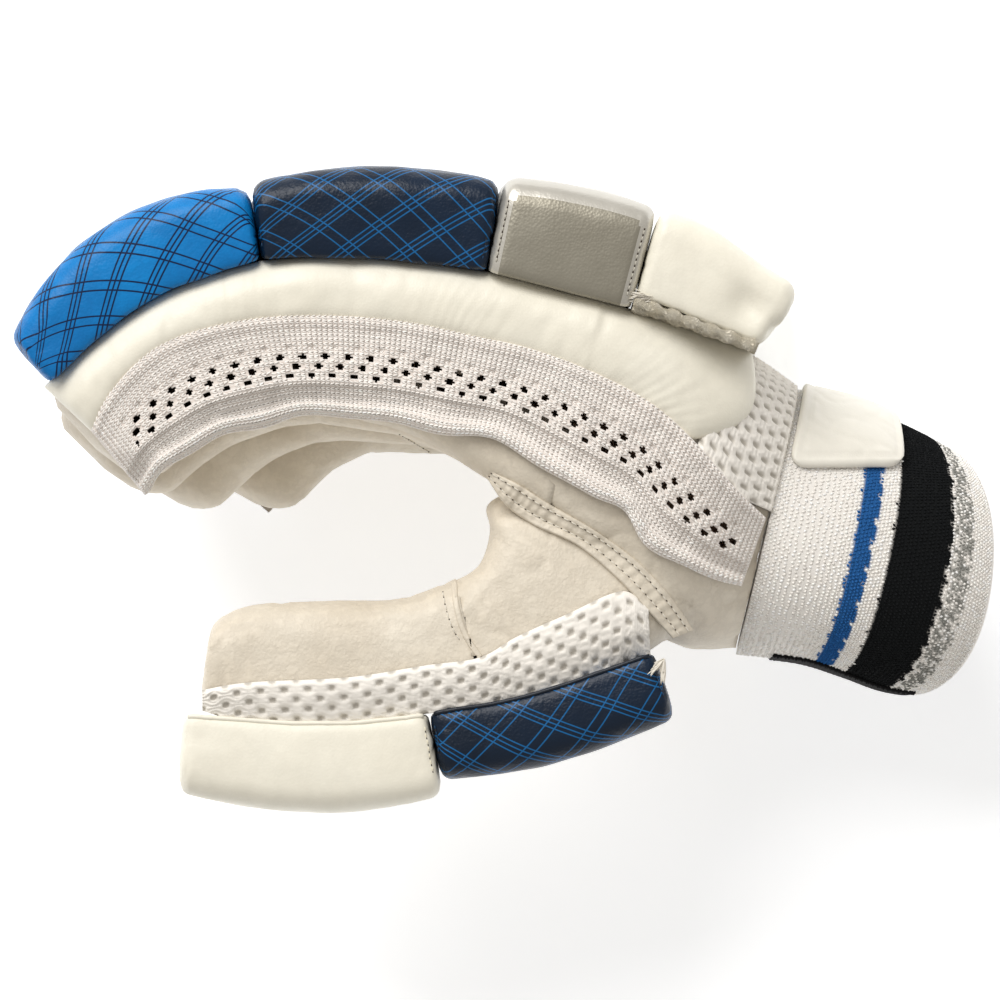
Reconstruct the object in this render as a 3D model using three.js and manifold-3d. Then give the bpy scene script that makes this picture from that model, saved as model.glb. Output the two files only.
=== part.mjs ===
// A right-hand cricket batting glove, lying on its little-finger side.
// X runs from the fingertips to the cuff, Y from the palm to the back of the hand, Z up to the index finger.
import * as THREE from 'three';
import { mergeVertices } from 'three/addons/utils/BufferGeometryUtils.js';
import Module from 'manifold-3d';

const wasm = await Module();
wasm.setup();

// Overall sizes, millimetres
const gloveLength = 242;
const gloveHeight = 160;

// Fingers
const fingerWidth = 22.8;
const fingerGap = 0.6;
const fingerDepth = 38;
const fingerCorner = 7;
const leatherWall = 2;

// Rolls and side pieces
const rollHeight = 23;
const rollCorner = 6.5;
const rollSeam = 0.8;
const thumbRollHeight = 21;
const sidePadThickness = 4.6;
const gussetThickness = 2.6;
const seamBandThickness = 1.6;
const meshThickness = 1.8;
const bandThickness = 2;

// Knit openings in the index gusset
const holeRows = 3;
const holesPerRow = 31;

// Thumb and wrist
const thumbWidth = 33;
const thumbSink = 1.2;
const wristDepth = 60;
const wristCentre = 0.485;
const cuffWall = 3;
const cuffFullness = 1.4;
const strapThickness = 1.8;
const elasticThickness = 1.2;

// Clearance between pieces that meet, how far the curved stall tops lie below the rolls' seat line,
// and how far a laid side piece stands off the leather under it
const fit = 0.3;
const seatSink = 0.55;
const laidGap = 0.45;

const handWidth = 4 * fingerWidth + 3 * fingerGap;
const handFloor = sidePadThickness + fit;
const handRoof = handFloor + handWidth;

// Lines of the side view: along is a share of gloveLength from the fingertips,
// rise a share of gloveHeight above the underside of the thumb rolls.
const plane = (along, rise) => new THREE.Vector2(along * gloveLength, rise * gloveHeight);

// The seat line, on which the rolls of the index finger sit
const seatLine = [
  { along: 0.033, rise: 0.668 },
  { along: 0.085, rise: 0.741 },
  { along: 0.136, rise: 0.796 },
  { along: 0.188, rise: 0.832 },
  { along: 0.252, rise: 0.860 },
  { along: 0.365, rise: 0.863 },
  { along: 0.484, rise: 0.842 },
  { along: 0.559, rise: 0.813 },
  { along: 0.604, rise: 0.796 },
  { along: 0.652, rise: 0.776 },
  { along: 0.703, rise: 0.750 },
  { along: 0.762, rise: 0.719 },
  { along: 0.800, rise: 0.695 },
];
const knuckleRow = 8;
const knuckle = plane(seatLine[knuckleRow].along, seatLine[knuckleRow].rise);

// Curl in degrees, reach as a share of the index finger's length, depth as a share of fingerDepth
const fingers = [
  { name: 'little', curl: 9, reach: 0.80, depth: 0.96 },
  { name: 'ring', curl: 5.5, reach: 0.93, depth: 1.0 },
  { name: 'middle', curl: 2.2, reach: 1.0, depth: 1.02 },
  { name: 'index', curl: 0, reach: 1.0, depth: 1.0 },
];

// Stall sections: along is a share of the finger, depth of fingerDepth, inset of fingerCorner
const stallRows = [
  { along: -0.016, depth: 0.86, inset: 0.72 },
  { along: -0.004, depth: 0.90, inset: 0.26 },
  { along: 0.03, depth: 0.93, inset: 0 },
  { along: 0.18, depth: 0.95, inset: 0 },
  { along: 0.34, depth: 0.97, inset: 0 },
  { along: 0.50, depth: 0.99, inset: 0 },
  { along: 0.66, depth: 1.03, inset: 0 },
  { along: 0.83, depth: 1.15, inset: 0 },
  { along: 1.0, depth: 1.27, inset: 0 },
];

// Rolls of one finger: along as in the stall, heights as shares of rollHeight
const rollColumns = ['name', 'from', 'to', 'base', 'top', 'colour'];
const rollRows = [
  ['tip_roll', -0.012, 0.417, [0, 0], [0.68, 0.96, 0.80], 0x0a72c8],
  ['middle_roll', 0.417, 0.796, [0, 0], [0.84, 0.98, 0.98], 0x10204a],
  ['base_roll', 0.796, 1.045, [0, 0], [1.04, 1.14, 1.12], 0xb3afa8],
  ['knuckle_block', 1.05, 1.29, [0.33, 0.15], [1.14, 1.04, 0.86], 0xf0ead8],
].map((values) => Object.fromEntries(rollColumns.map((name, k) => [name, values[k]])));
const weltFrom = 1.075;
const weltTo = 1.265;

// Hand sections from the knuckles to the wrist: back and palm points of the side view,
// near and far as shares of handWidth, power for how square the section is
const handRows = [
  { backAlong: 0, backRise: 0, palmAlong: 0, palmRise: 0, near: 1, far: 0, power: 9 },
  { backAlong: 0.703, backRise: 0.7455, palmAlong: 0.606, palmRise: 0.385, near: 0.985, far: 0.012, power: 5 },
  { backAlong: 0.760, backRise: 0.698, palmAlong: 0.672, palmRise: 0.266, near: 0.93, far: 0.06, power: 3.2 },
  { backAlong: 0.803, backRise: 0.652, palmAlong: 0.742, palmRise: 0.258, near: 0, far: 0, power: 2.3 },
];

// Thumb sections from the tip into the palm: pad side, back side, and depth as a share of thumbWidth
const thumbRows = [
  { padAlong: 0.195, padRise: 0.255, backAlong: 0.187, backRise: 0.178, wide: 0.60, sink: 0 },
  { padAlong: 0.203, padRise: 0.296, backAlong: 0.199, backRise: 0.158, wide: 0.90, sink: 0 },
  { padAlong: 0.240, padRise: 0.322, backAlong: 0.244, backRise: 0.148, wide: 1.0, sink: 0 },
  { padAlong: 0.320, padRise: 0.330, backAlong: 0.327, backRise: 0.145, wide: 1.0, sink: 0 },
  { padAlong: 0.394, padRise: 0.336, backAlong: 0.409, backRise: 0.160, wide: 1.0, sink: 0 },
  { padAlong: 0.449, padRise: 0.363, backAlong: 0.477, backRise: 0.172, wide: 1.0, sink: 0 },
  { padAlong: 0.476, padRise: 0.390, backAlong: 0.528, backRise: 0.187, wide: 1.05, sink: 0.02 },
  { padAlong: 0.487, padRise: 0.441, backAlong: 0.585, backRise: 0.213, wide: 1.15, sink: 0.03 },
  { padAlong: 0.489, padRise: 0.488, backAlong: 0.646, backRise: 0.246, wide: 1.3, sink: 0.06 },
  { padAlong: 0.579, padRise: 0.535, backAlong: 0.703, backRise: 0.317, wide: 1.2, sink: 0.22 },
];
const thumbSeamRow = 5;
const thumbSquareness = 3.6;

// Thumb rolls: along is a share of the thumb's back line, heights are shares of thumbRollHeight
const thumbRollRows = [
  { name: 'thumb_tip_roll', from: -0.035, to: 0.478, top: [0.92, 1.04, 0.98], colour: 0xf2ead6 },
  { name: 'thumb_base_roll', from: 0.478, to: 0.99, top: [0.80, 0.84, 0.82], colour: 0x10204a },
];
const thumbBackLine = [
  { along: 0.187, rise: 0.152 },
  { along: 0.251, rise: 0.145 },
  { along: 0.322, rise: 0.141 },
  { along: 0.392, rise: 0.149 },
  { along: 0.436, rise: 0.160 },
  { along: 0.513, rise: 0.180 },
  { along: 0.572, rise: 0.206 },
  { along: 0.612, rise: 0.228 },
  { along: 0.672, rise: 0.260 },
];

// Side lines: the roll seat, the seam between strip and gusset, and the hem; belly rounds the strip's end
const sideColumns = ['seatAlong', 'seatRise', 'seamAlong', 'seamRise', 'hemAlong', 'hemRise', 'belly'];
const sideRows = [
  [0.030, 0.660, 0.075, 0.596, 0.129, 0.498, 0],
  [0.083, 0.736, 0.097, 0.660, 0.153, 0.538, 0],
  [0.136, 0.792, 0.146, 0.730, 0.203, 0.577, 0],
  [0.195, 0.832, 0.219, 0.766, 0.252, 0.607, 0],
  [0.280, 0.860, 0.301, 0.777, 0.310, 0.616, 0],
  [0.391, 0.857, 0.394, 0.768, 0.384, 0.608, 0],
  [0.484, 0.837, 0.473, 0.744, 0.451, 0.591, 0],
  [0.559, 0.808, 0.543, 0.718, 0.512, 0.563, 0],
  [0.610, 0.788, 0.600, 0.683, 0.571, 0.513, 0],
  [0.677, 0.758, 0.652, 0.641, 0.615, 0.476, 0.10],
  [0.758, 0.716, 0.696, 0.582, 0.646, 0.426, 0.34],
  [0.790, 0.690, 0.736, 0.513, 0.693, 0.378, 0.34],
  [0.800, 0.670, 0.772, 0.460, 0.746, 0.350, 0],
].map((values) => Object.fromEntries(sideColumns.map((name, k) => [name, values[k]])));
const stripEndRow = 10;

// Lines across the gusset, as shares of its width from the seam to the hem: three open rows in the middle
const gussetLines = [0, 0.28, 0.355, 0.38, 0.455, 0.48, 0.555, 0.86, 1];

// The raised seam from the thumb's crotch to the heel, and the air mesh along the thumb
const palmSeamRows = [
  { upAlong: 0.517, upRise: 0.512, lowAlong: 0.503, lowRise: 0.480 },
  { upAlong: 0.546, upRise: 0.484, lowAlong: 0.532, lowRise: 0.449 },
  { upAlong: 0.596, upRise: 0.440, lowAlong: 0.577, lowRise: 0.417 },
  { upAlong: 0.640, upRise: 0.391, lowAlong: 0.617, lowRise: 0.367 },
  { upAlong: 0.673, upRise: 0.338, lowAlong: 0.650, lowRise: 0.314 },
  { upAlong: 0.697, upRise: 0.285, lowAlong: 0.675, lowRise: 0.272 },
];
const thumbMeshRows = [
  { upAlong: 0.190, upRise: 0.192, lowAlong: 0.190, lowRise: 0.172 },
  { upAlong: 0.238, upRise: 0.204, lowAlong: 0.240, lowRise: 0.153 },
  { upAlong: 0.340, upRise: 0.212, lowAlong: 0.340, lowRise: 0.148 },
  { upAlong: 0.422, upRise: 0.231, lowAlong: 0.420, lowRise: 0.167 },
  { upAlong: 0.476, upRise: 0.243, lowAlong: 0.478, lowRise: 0.176 },
  { upAlong: 0.514, upRise: 0.275, lowAlong: 0.520, lowRise: 0.187 },
  { upAlong: 0.564, upRise: 0.309, lowAlong: 0.572, lowRise: 0.212 },
  { upAlong: 0.622, upRise: 0.346, lowAlong: 0.618, lowRise: 0.236 },
  { upAlong: 0.650, upRise: 0.320, lowAlong: 0.652, lowRise: 0.258 },
];

// Cuff sections from the wrist to the rim: back and palm points, depth as a share of wristDepth,
// fall as a share of handWidth, tilt in degrees
const cuffRows = [
  { backAlong: 0, backRise: 0, palmAlong: 0, palmRise: 0, wide: 1, fall: 0, tilt: 0 },
  { backAlong: 0.860, backRise: 0.638, palmAlong: 0.809, palmRise: 0.239, wide: 1.0, fall: 0.02, tilt: 8 },
  { backAlong: 0.903, backRise: 0.607, palmAlong: 0.853, palmRise: 0.220, wide: 0.98, fall: 0.045, tilt: 12 },
  { backAlong: 0.941, backRise: 0.582, palmAlong: 0.893, palmRise: 0.195, wide: 0.96, fall: 0.085, tilt: 22 },
  { backAlong: 0.953, backRise: 0.574, palmAlong: 0.924, palmRise: 0.184, wide: 0.95, fall: 0.12, tilt: 33 },
];

// Smooth values between the rows of a table
function blend(rows, t) {
  const place = t * (rows.length - 1);
  const index = Math.min(Math.max(Math.floor(place), 0), rows.length - 2);
  const part = place - index;
  const row = {};
  for (const name of Object.keys(rows[0])) {
    const start = rows[index][name];
    const end = rows[index + 1][name];
    const before = rows[Math.max(index - 1, 0)][name];
    const after = rows[Math.min(index + 2, rows.length - 1)][name];
    const pull = 2 * before - 5 * start + 4 * end - after;
    const twist = 3 * (start - end) + after - before;
    row[name] = start + 0.5 * part * (end - before + part * (pull + part * twist));
  }
  return row;
}

const lerp = THREE.MathUtils.lerp;
const spread = (count) => Array.from({ length: count + 1 }, (_, k) => k / count);

// A closed geometry from points and triangles, turned so that its faces point out
function closed(points, faces) {
  let volume = 0;
  const cross = new THREE.Vector3();
  for (const [a, b, c] of faces) {
    cross.crossVectors(points[b], points[c]);
    volume += points[a].dot(cross);
  }
  const turned = volume < 0 ? faces.map(([a, b, c]) => [a, c, b]) : faces;
  const geometry = new THREE.BufferGeometry().setFromPoints(points);
  geometry.setIndex(turned.flat());
  return geometry;
}

// Side faces between rings of equal count
function wallFaces(first, count, sides, inward) {
  const faces = [];
  for (let i = 0; i + 1 < count; i += 1) {
    for (let k = 0; k < sides; k += 1) {
      const a = first + i * sides + k;
      const b = first + i * sides + ((k + 1) % sides);
      const c = b + sides;
      const d = a + sides;
      faces.push(...(inward ? [[a, c, b], [a, d, c]] : [[a, b, c], [a, c, d]]));
    }
  }
  return faces;
}

// A fan that closes one ring
function capFaces(points, ring, first, reversed) {
  const middle = ring.reduce((sum, point) => sum.add(point), new THREE.Vector3()).divideScalar(ring.length);
  const hub = points.push(middle) - 1;
  return ring.map((_, k) => {
    const a = first + k;
    const b = first + ((k + 1) % ring.length);
    return reversed ? [hub, b, a] : [hub, a, b];
  });
}

function loft(rings) {
  const sides = rings[0].length;
  const points = rings.flat();
  const last = (rings.length - 1) * sides;
  const faces = wallFaces(0, rings.length, sides, false);
  faces.push(...capFaces(points, rings[0], 0, true));
  faces.push(...capFaces(points, rings[rings.length - 1], last, false));
  return closed(points, faces);
}

// A hollow tube: an outer and an inner wall, open at the last ring, and at the first one unless it has a tip
function sleeve(outer, inner, hasTip) {
  const sides = outer[0].length;
  const points = [...outer.flat(), ...inner.flat()];
  const innerFirst = outer.length * sides;
  const outerLast = innerFirst - sides;
  const innerLast = innerFirst + (inner.length - 1) * sides;
  const faces = wallFaces(0, outer.length, sides, false);
  faces.push(...wallFaces(innerFirst, inner.length, sides, true));
  for (let k = 0; k < sides; k += 1) {
    const next = (k + 1) % sides;
    faces.push([outerLast + k, outerLast + next, innerLast + next]);
    faces.push([outerLast + k, innerLast + next, innerLast + k]);
    if (!hasTip) {
      faces.push([k, innerFirst + next, next], [k, innerFirst + k, innerFirst + next]);
    }
  }
  if (hasTip) {
    faces.push(...capFaces(points, outer[0], 0, true));
    faces.push(...capFaces(points, inner[0], innerFirst, false));
  }
  return closed(points, faces);
}

// A sheet with thickness between two grids of points, with some cells left open
function sheet(inner, outer, isOpen = () => false) {
  const rows = inner.length;
  const columns = inner[0].length;
  const points = [...inner.flat(), ...outer.flat()];
  const lift = rows * columns;
  const at = (i, j) => i * columns + j;
  const filled = (i, j) => i >= 0 && j >= 0 && i < rows - 1 && j < columns - 1 && !isOpen(i, j);
  const faces = [];
  const edge = (a, b) => faces.push([a, b, b + lift], [a, b + lift, a + lift]);
  for (let i = 0; i + 1 < rows; i += 1) {
    for (let j = 0; j + 1 < columns; j += 1) {
      if (!filled(i, j)) {
        continue;
      }
      const corners = [at(i, j), at(i + 1, j), at(i + 1, j + 1), at(i, j + 1)];
      const [a, b, c, d] = corners;
      faces.push([a, c, b], [a, d, c]);
      faces.push([a + lift, b + lift, c + lift], [a + lift, c + lift, d + lift]);
      if (!filled(i, j - 1)) {
        edge(a, b);
      }
      if (!filled(i + 1, j)) {
        edge(b, c);
      }
      if (!filled(i, j + 1)) {
        edge(c, d);
      }
      if (!filled(i - 1, j)) {
        edge(d, a);
      }
    }
  }
  return closed(points, faces);
}

function toSolid(geometry) {
  const bare = geometry.clone();
  bare.deleteAttribute('normal');
  bare.deleteAttribute('uv');
  const merged = mergeVertices(bare);
  const vertProperties = new Float32Array(merged.getAttribute('position').array);
  const triVerts = new Uint32Array(merged.getIndex().array);
  return new wasm.Manifold(new wasm.Mesh({ numProp: 3, vertProperties, triVerts }));
}

function toGeometry(body) {
  const mesh = body.getMesh();
  const geometry = new THREE.BufferGeometry();
  geometry.setAttribute('position', new THREE.BufferAttribute(new Float32Array(mesh.vertProperties), 3));
  geometry.setIndex(new THREE.BufferAttribute(new Uint32Array(mesh.triVerts), 1));
  return geometry;
}

const glove = new THREE.Group();

function addPiece(name, geometry, colour, roughness = 0.6, metalness = 0) {
  const material = new THREE.MeshStandardMaterial({ color: colour, roughness, metalness, flatShading: true });
  const mesh = new THREE.Mesh(geometry, material);
  mesh.name = name;
  glove.add(mesh);
  return mesh;
}

// Fingers turn and shorten about the knuckle, the more the nearer a point is to the tip
const indexReach = knuckle.x;

function bend(point, finger) {
  const ahead = knuckle.x - point.x;
  const ramp = THREE.MathUtils.smoothstep(ahead, 0, indexReach * 0.3);
  const arm = point.clone().sub(knuckle);
  arm.multiplyScalar(1 - (1 - finger.reach) * ramp);
  arm.rotateAround(new THREE.Vector2(), THREE.MathUtils.degToRad(finger.curl) * ramp);
  return arm.add(knuckle);
}

function curveThrough(points) {
  return new THREE.CatmullRomCurve3(points.map((p) => new THREE.Vector3(p.x, p.y, 0)), false, 'centripetal');
}

function seatOf(finger) {
  const points = seatLine.map((row) => bend(plane(row.along, row.rise), finger));
  const curve = curveThrough(points);
  const toKnuckle = curveThrough(points.slice(0, knuckleRow + 1)).getLength();
  return { curve, toKnuckle, total: curve.getLength() };
}

const indexSeat = seatOf(fingers[3]);

// A place on a seat: the share runs 0 to 1 from tip to knuckle, and past 1 over the back of the hand
function placeOn(seat, share) {
  const distance = share <= 1 ? share * seat.toKnuckle : seat.toKnuckle + (share - 1) * indexSeat.toKnuckle;
  const inside = THREE.MathUtils.clamp(distance / seat.total, 0, 1);
  const tangent = seat.curve.getTangentAt(inside);
  const point = seat.curve.getPointAt(inside).addScaledVector(tangent, distance - inside * seat.total);
  const side = seat.side ?? 1;
  return { point, normal: new THREE.Vector3(-tangent.y * side, tangent.x * side, 0) };
}

// A rounded rectangle across a seat, from low to high along the normal and between two depths
function roundedRing(place, low, high, zLow, zHigh, corner, turns = [0, 45, 90]) {
  const limit = Math.min(corner, (high - low) / 2.02, (zHigh - zLow) / 2.02);
  const centres = [
    [high - limit, zHigh - limit, 0],
    [low + limit, zHigh - limit, 90],
    [low + limit, zLow + limit, 180],
    [high - limit, zLow + limit, 270],
  ];
  const ring = [];
  for (const [rise, depth, start] of centres) {
    for (const step of turns) {
      const angle = THREE.MathUtils.degToRad(start + step);
      const up = rise + limit * Math.cos(angle);
      const side = depth + limit * Math.sin(angle);
      ring.push(place.point.clone().addScaledVector(place.normal, up).setZ(side));
    }
  }
  return ring;
}

// Two points to a corner keep the hollow stalls plain
const chamferTurns = [15, 75];
const bandFloor = (order) => handFloor + order * (fingerWidth + fingerGap);

function stallRings(finger, order, seat, grow) {
  const zLow = bandFloor(order) - grow;
  const zHigh = bandFloor(order) + fingerWidth + grow;
  const endShare = 1 - fit / seat.toKnuckle;
  const tipGrow = grow / seat.toKnuckle;
  return stallRows.map((row, index) => {
    const inset = row.inset * fingerCorner;
    const isEnd = index === stallRows.length - 1;
    const share = isEnd ? endShare : row.along - (row.along < 0.1 ? tipGrow : 0);
    const evened = lerp(finger.depth, 1, Math.max(row.along, 0) ** 2);
    const low = -row.depth * evened * fingerDepth + inset - grow;
    const high = grow - inset - seatSink;
    const place = placeOn(seat, share);
    return roundedRing(place, low, high, zLow + inset, zHigh - inset, fingerCorner + grow, chamferTurns);
  });
}

const leatherGrey = 0xd9d2c8;
const stallSolids = [];
const stallMeshes = [];

fingers.forEach((finger, order) => {
  const seat = seatOf(finger);
  const outer = stallRings(finger, order, seat, 0);
  const inner = stallRings(finger, order, seat, -leatherWall);
  stallMeshes.push(addPiece(`${finger.name}_stall`, sleeve(outer, inner, true), leatherGrey));
  const grown = stallRings(finger, order, seat, fit);
  stallSolids.push(toSolid(loft(grown)));
});

// A padded roll across a seat, with rounded ends
function rollOn(seat, row, height, zLow, zHigh) {
  const steps = [
    { share: 0, inset: 0.36 },
    { share: 0.04, inset: 0.08 },
    { share: 0.33, inset: 0 },
    { share: 0.67, inset: 0 },
    { share: 0.96, inset: 0.08 },
    { share: 1, inset: 0.36 },
  ];
  const gap = rollSeam / 2 / seat.toKnuckle;
  const [start, middle, end] = row.top;
  const [baseStart, baseEnd] = row.base ?? [0, 0];
  const rings = steps.map(({ share, inset }) => {
    const along = lerp(row.from + gap, row.to - gap, share);
    const crown = 4 * share * (1 - share) * (middle - (start + end) / 2);
    const top = (lerp(start, end, share) + crown) * height;
    const base = lerp(baseStart, baseEnd, share) * height + fit;
    const trim = inset * rollCorner;
    const place = placeOn(seat, along);
    return roundedRing(place, base + trim * 0.4, top - trim, zLow + trim, zHigh - trim, rollCorner);
  });
  return loft(rings);
}

fingers.forEach((finger, order) => {
  const seat = seatOf(finger);
  const zLow = order === 0 ? 0 : bandFloor(order);
  const zHigh = bandFloor(order) + fingerWidth + (order === 3 ? handFloor : 0);
  for (const row of rollRows) {
    const shine = row.name === 'base_roll' ? [0.4, 0.6] : [0.45, 0];
    addPiece(`${finger.name}_${row.name}`, rollOn(seat, row, rollHeight, zLow, zHigh), row.colour, ...shine);
  }
  const block = rollRows[3];
  const rings = spread(2).map((share) => {
    const along = lerp(weltFrom, weltTo, share);
    const under = (along - block.from) / (block.to - block.from);
    const top = lerp(block.base[0], block.base[1], under) * rollHeight;
    const place = placeOn(seat, along);
    return roundedRing(place, fit, top, zLow + rollSeam, zHigh - rollSeam, rollSeam);
  });
  addPiece(`${finger.name}_welt`, loft(rings), 0xe6dccb, 0.95);
});

// A section between two points of the side view, bulging to both sides, with its depth tilted if asked
function sectionRing(top, low, zMid, halfDepth, power, grow, sides, tilt = 0) {
  const across = top.clone().sub(low);
  const half = across.length() / 2 + grow;
  across.normalize();
  const centre = top.clone().add(low).multiplyScalar(0.5);
  const forward = new THREE.Vector2(across.y, -across.x);
  const lean = THREE.MathUtils.degToRad(tilt);
  return spread(sides).slice(0, sides).map((turn) => {
    const angle = turn * 2 * Math.PI;
    const square = (value) => Math.sign(value) * Math.abs(value) ** (2 / power);
    const up = square(Math.cos(angle)) * half;
    const out = square(Math.sin(angle)) * (halfDepth + grow);
    const slide = out * Math.sin(lean);
    const x = centre.x + across.x * up + forward.x * slide;
    const y = centre.y + across.y * up + forward.y * slide;
    return new THREE.Vector3(x, y, zMid + out * Math.cos(lean));
  });
}

// Rows that meet the fingers and the wrist take their places from them
const knucklePlace = placeOn(indexSeat, 1);
const knucklePalm = knucklePlace.point.clone()
  .addScaledVector(knucklePlace.normal, -stallRows[stallRows.length - 1].depth * fingerDepth);
handRows[0].backAlong = knucklePlace.point.x / gloveLength;
handRows[0].backRise = knucklePlace.point.y / gloveHeight;
handRows[0].palmAlong = knucklePalm.x / gloveLength;
handRows[0].palmRise = knucklePalm.y / gloveHeight;
const wristRow = handRows[handRows.length - 1];
wristRow.near = wristCentre + wristDepth / 2 / handWidth;
wristRow.far = wristCentre - wristDepth / 2 / handWidth;

const handSides = 24;

function handRing(t, grow) {
  const row = blend(handRows, t);
  const zMid = handFloor + (row.near + row.far) / 2 * handWidth;
  const halfDepth = (row.near - row.far) / 2 * handWidth;
  const back = plane(row.backAlong, row.backRise);
  const palm = plane(row.palmAlong, row.palmRise);
  return sectionRing(back, palm, zMid, halfDepth, row.power, grow, handSides);
}

const thumbSides = 16;

function thumbRing(t, grow) {
  const row = blend(thumbRows, t);
  const depth = row.wide * thumbWidth;
  const zMid = handRoof - thumbSink - row.sink * thumbWidth - depth / 2;
  const pad = plane(row.padAlong, row.padRise);
  const back = plane(row.backAlong, row.backRise);
  return sectionRing(pad, back, zMid, depth / 2, thumbSquareness, grow, thumbSides);
}

// Rings stretched past an open end, so that a hollow cuts right through it
function past(ring, from, distance) {
  const heading = ring[0].clone().sub(from[0]).normalize();
  return ring.map((point) => point.clone().addScaledVector(heading, distance));
}

const handSteps = 6;
const handOuter = (grow) => toSolid(loft(spread(handSteps).map((t) => handRing(t, grow))));

function handHollow() {
  const rings = spread(handSteps).map((t) => handRing(t, -leatherWall));
  rings.unshift(past(rings[0], rings[1], leatherWall));
  rings.push(past(rings[rings.length - 1], rings[rings.length - 2], leatherWall));
  return toSolid(loft(rings));
}

const thumbSeam = thumbSeamRow / (thumbRows.length - 1);
const rootShares = spread(6).map((share) => lerp(thumbSeam, 1, share));
const rootRings = (grow) => rootShares.map((t) => thumbRing(t, grow));
const rootOuter = (grow) => toSolid(loft(rootRings(grow)));

function rootHollow() {
  const rings = rootRings(-leatherWall);
  rings.unshift(past(rings[0], rings[1], leatherWall));
  return toSolid(loft(rings));
}

const allStalls = stallSolids.reduce((sum, one) => sum.add(one));
const handAndRoot = handOuter(0).add(rootOuter(0));
const palmBody = handAndRoot.subtract(handHollow()).subtract(rootHollow()).subtract(allStalls);
const palmShell = addPiece('palm_shell', toGeometry(palmBody), leatherGrey);

// The thumb's end stops a clearance before its seam
const stallSeam = thumbSeam - fit / (thumbRollHeight * thumbRows.length);
const thumbShares = [0, 1, 1.6, 2.4, 3.2, 4.1].map((row) => row / (thumbRows.length - 1));
thumbShares.push(stallSeam);
const thumbOuter = thumbShares.map((t) => thumbRing(t, 0));
const thumbInner = thumbShares.map((t, index) => {
  const ring = thumbRing(t, -leatherWall);
  return index === 0 ? past(ring, thumbRing(thumbShares[1], -leatherWall), -leatherWall) : ring;
});
const thumbStall = addPiece('thumb_stall', sleeve(thumbOuter, thumbInner, true), 0xe6dfd4);

// Rolls on the back of the thumb sit on its back line, facing away from the fingers
const thumbCurve = curveThrough(thumbBackLine.map((row) => plane(row.along, row.rise)));
const thumbLength = thumbCurve.getLength();
const thumbSeat = { curve: thumbCurve, toKnuckle: thumbLength, total: thumbLength, side: -1 };
const thumbRoof = handRoof - thumbSink;

// The outer face of the glove under a side piece, looked up along Z from the near or the far side
const bodies = [palmShell, thumbStall, ...stallMeshes];
bodies.forEach((mesh) => mesh.geometry.computeBoundingSphere());
const finder = new THREE.Raycaster();

function faceDepth(point, isNear) {
  const start = new THREE.Vector3(point.x, point.y, isNear ? 3 * handRoof : -handRoof);
  finder.set(start, new THREE.Vector3(0, 0, isNear ? -1 : 1));
  const [hit] = finder.intersectObjects(bodies);
  return hit ? hit.point.z : null;
}

// A sheet laid over a side of the glove. Each line runs across it, and it spans an edge without diving.
function laidSheet(lines, isNear, thicknessAt, isOpen) {
  const outward = isNear ? 1 : -1;
  const steepest = 0.35;
  const roof = isNear ? handRoof : handFloor;
  const heights = lines.map((line) => line.map((point) => {
    const depth = faceDepth(point, isNear) ?? roof - outward * handWidth;
    return depth * outward;
  }));
  const hold = (i, j, iNext, jNext) => {
    const run = lines[i][j].distanceTo(lines[iNext][jNext]) * steepest;
    heights[i][j] = Math.max(heights[i][j], heights[iNext][jNext] - run);
  };
  const last = [lines.length - 1, lines[0].length - 1];
  for (let i = 0; i <= last[0]; i += 1) {
    for (let j = 1; j <= last[1]; j += 1) {
      hold(i, j, i, j - 1);
      hold(i, last[1] - j, i, last[1] - j + 1);
    }
  }
  for (let i = 1; i <= last[0]; i += 1) {
    for (let j = 0; j <= last[1]; j += 1) {
      hold(i, j, i - 1, j);
    }
  }
  for (let i = last[0] - 1; i >= 0; i -= 1) {
    for (let j = 0; j <= last[1]; j += 1) {
      hold(i, j, i + 1, j);
    }
  }
  const inner = lines.map((line, i) => line.map((point, j) => (
    new THREE.Vector3(point.x, point.y, (heights[i][j] + laidGap) * outward)
  )));
  const outer = inner.map((line, i) => line.map((point, j) => {
    const thickness = thicknessAt(i / (lines.length - 1), j / (line.length - 1), j);
    return point.clone().setZ(point.z + thickness * outward);
  }));
  return sheet(inner, outer, isOpen);
}

const bodyGrown = handOuter(fit).add(rootOuter(fit)).add(allStalls)
  .add(toSolid(loft(thumbShares.map((t) => thumbRing(t, fit)))));

// The main piece of a cut solid: slivers that a cut leaves are dropped
function largestOf(whole) {
  const parts = whole.decompose();
  return toGeometry(parts.reduce((best, part) => (part.volume() > best.volume() ? part : best)));
}

function clearOfBody(geometry, ...others) {
  return largestOf(others.reduce((sum, other) => sum.subtract(other), toSolid(geometry).subtract(bodyGrown)));
}

// The thumb's rolls, cut clear of the heel that the base roll runs up to
for (const row of thumbRollRows) {
  const geometry = rollOn(thumbSeat, row, thumbRollHeight, thumbRoof - thumbWidth, thumbRoof);
  addPiece(row.name, clearOfBody(geometry), row.colour, 0.5);
}

// Lines across a side piece, from the table of side lines bent to the finger it lies on
function sideLine(finger, t, fromEdge, toEdge, shares, trim) {
  const row = blend(sideRows, t);
  const edges = {
    seat: bend(plane(row.seatAlong, row.seatRise), finger),
    seam: bend(plane(row.seamAlong, row.seamRise), finger),
    hem: bend(plane(row.hemAlong, row.hemRise), finger),
  };
  const start = edges[fromEdge];
  const end = edges[toEdge];
  const span = end.clone().sub(start);
  const length = span.length();
  const ahead = new THREE.Vector2(-span.y, span.x).normalize();
  return shares.map((share) => {
    const trimmed = lerp(trim / length, 1 - trim / length, share);
    const belly = fromEdge === 'seat' ? row.belly : 0;
    const bulge = belly * fingerWidth * Math.sin(trimmed * Math.PI);
    return start.clone().addScaledVector(span, trimmed).addScaledVector(ahead, bulge);
  });
}

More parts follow.
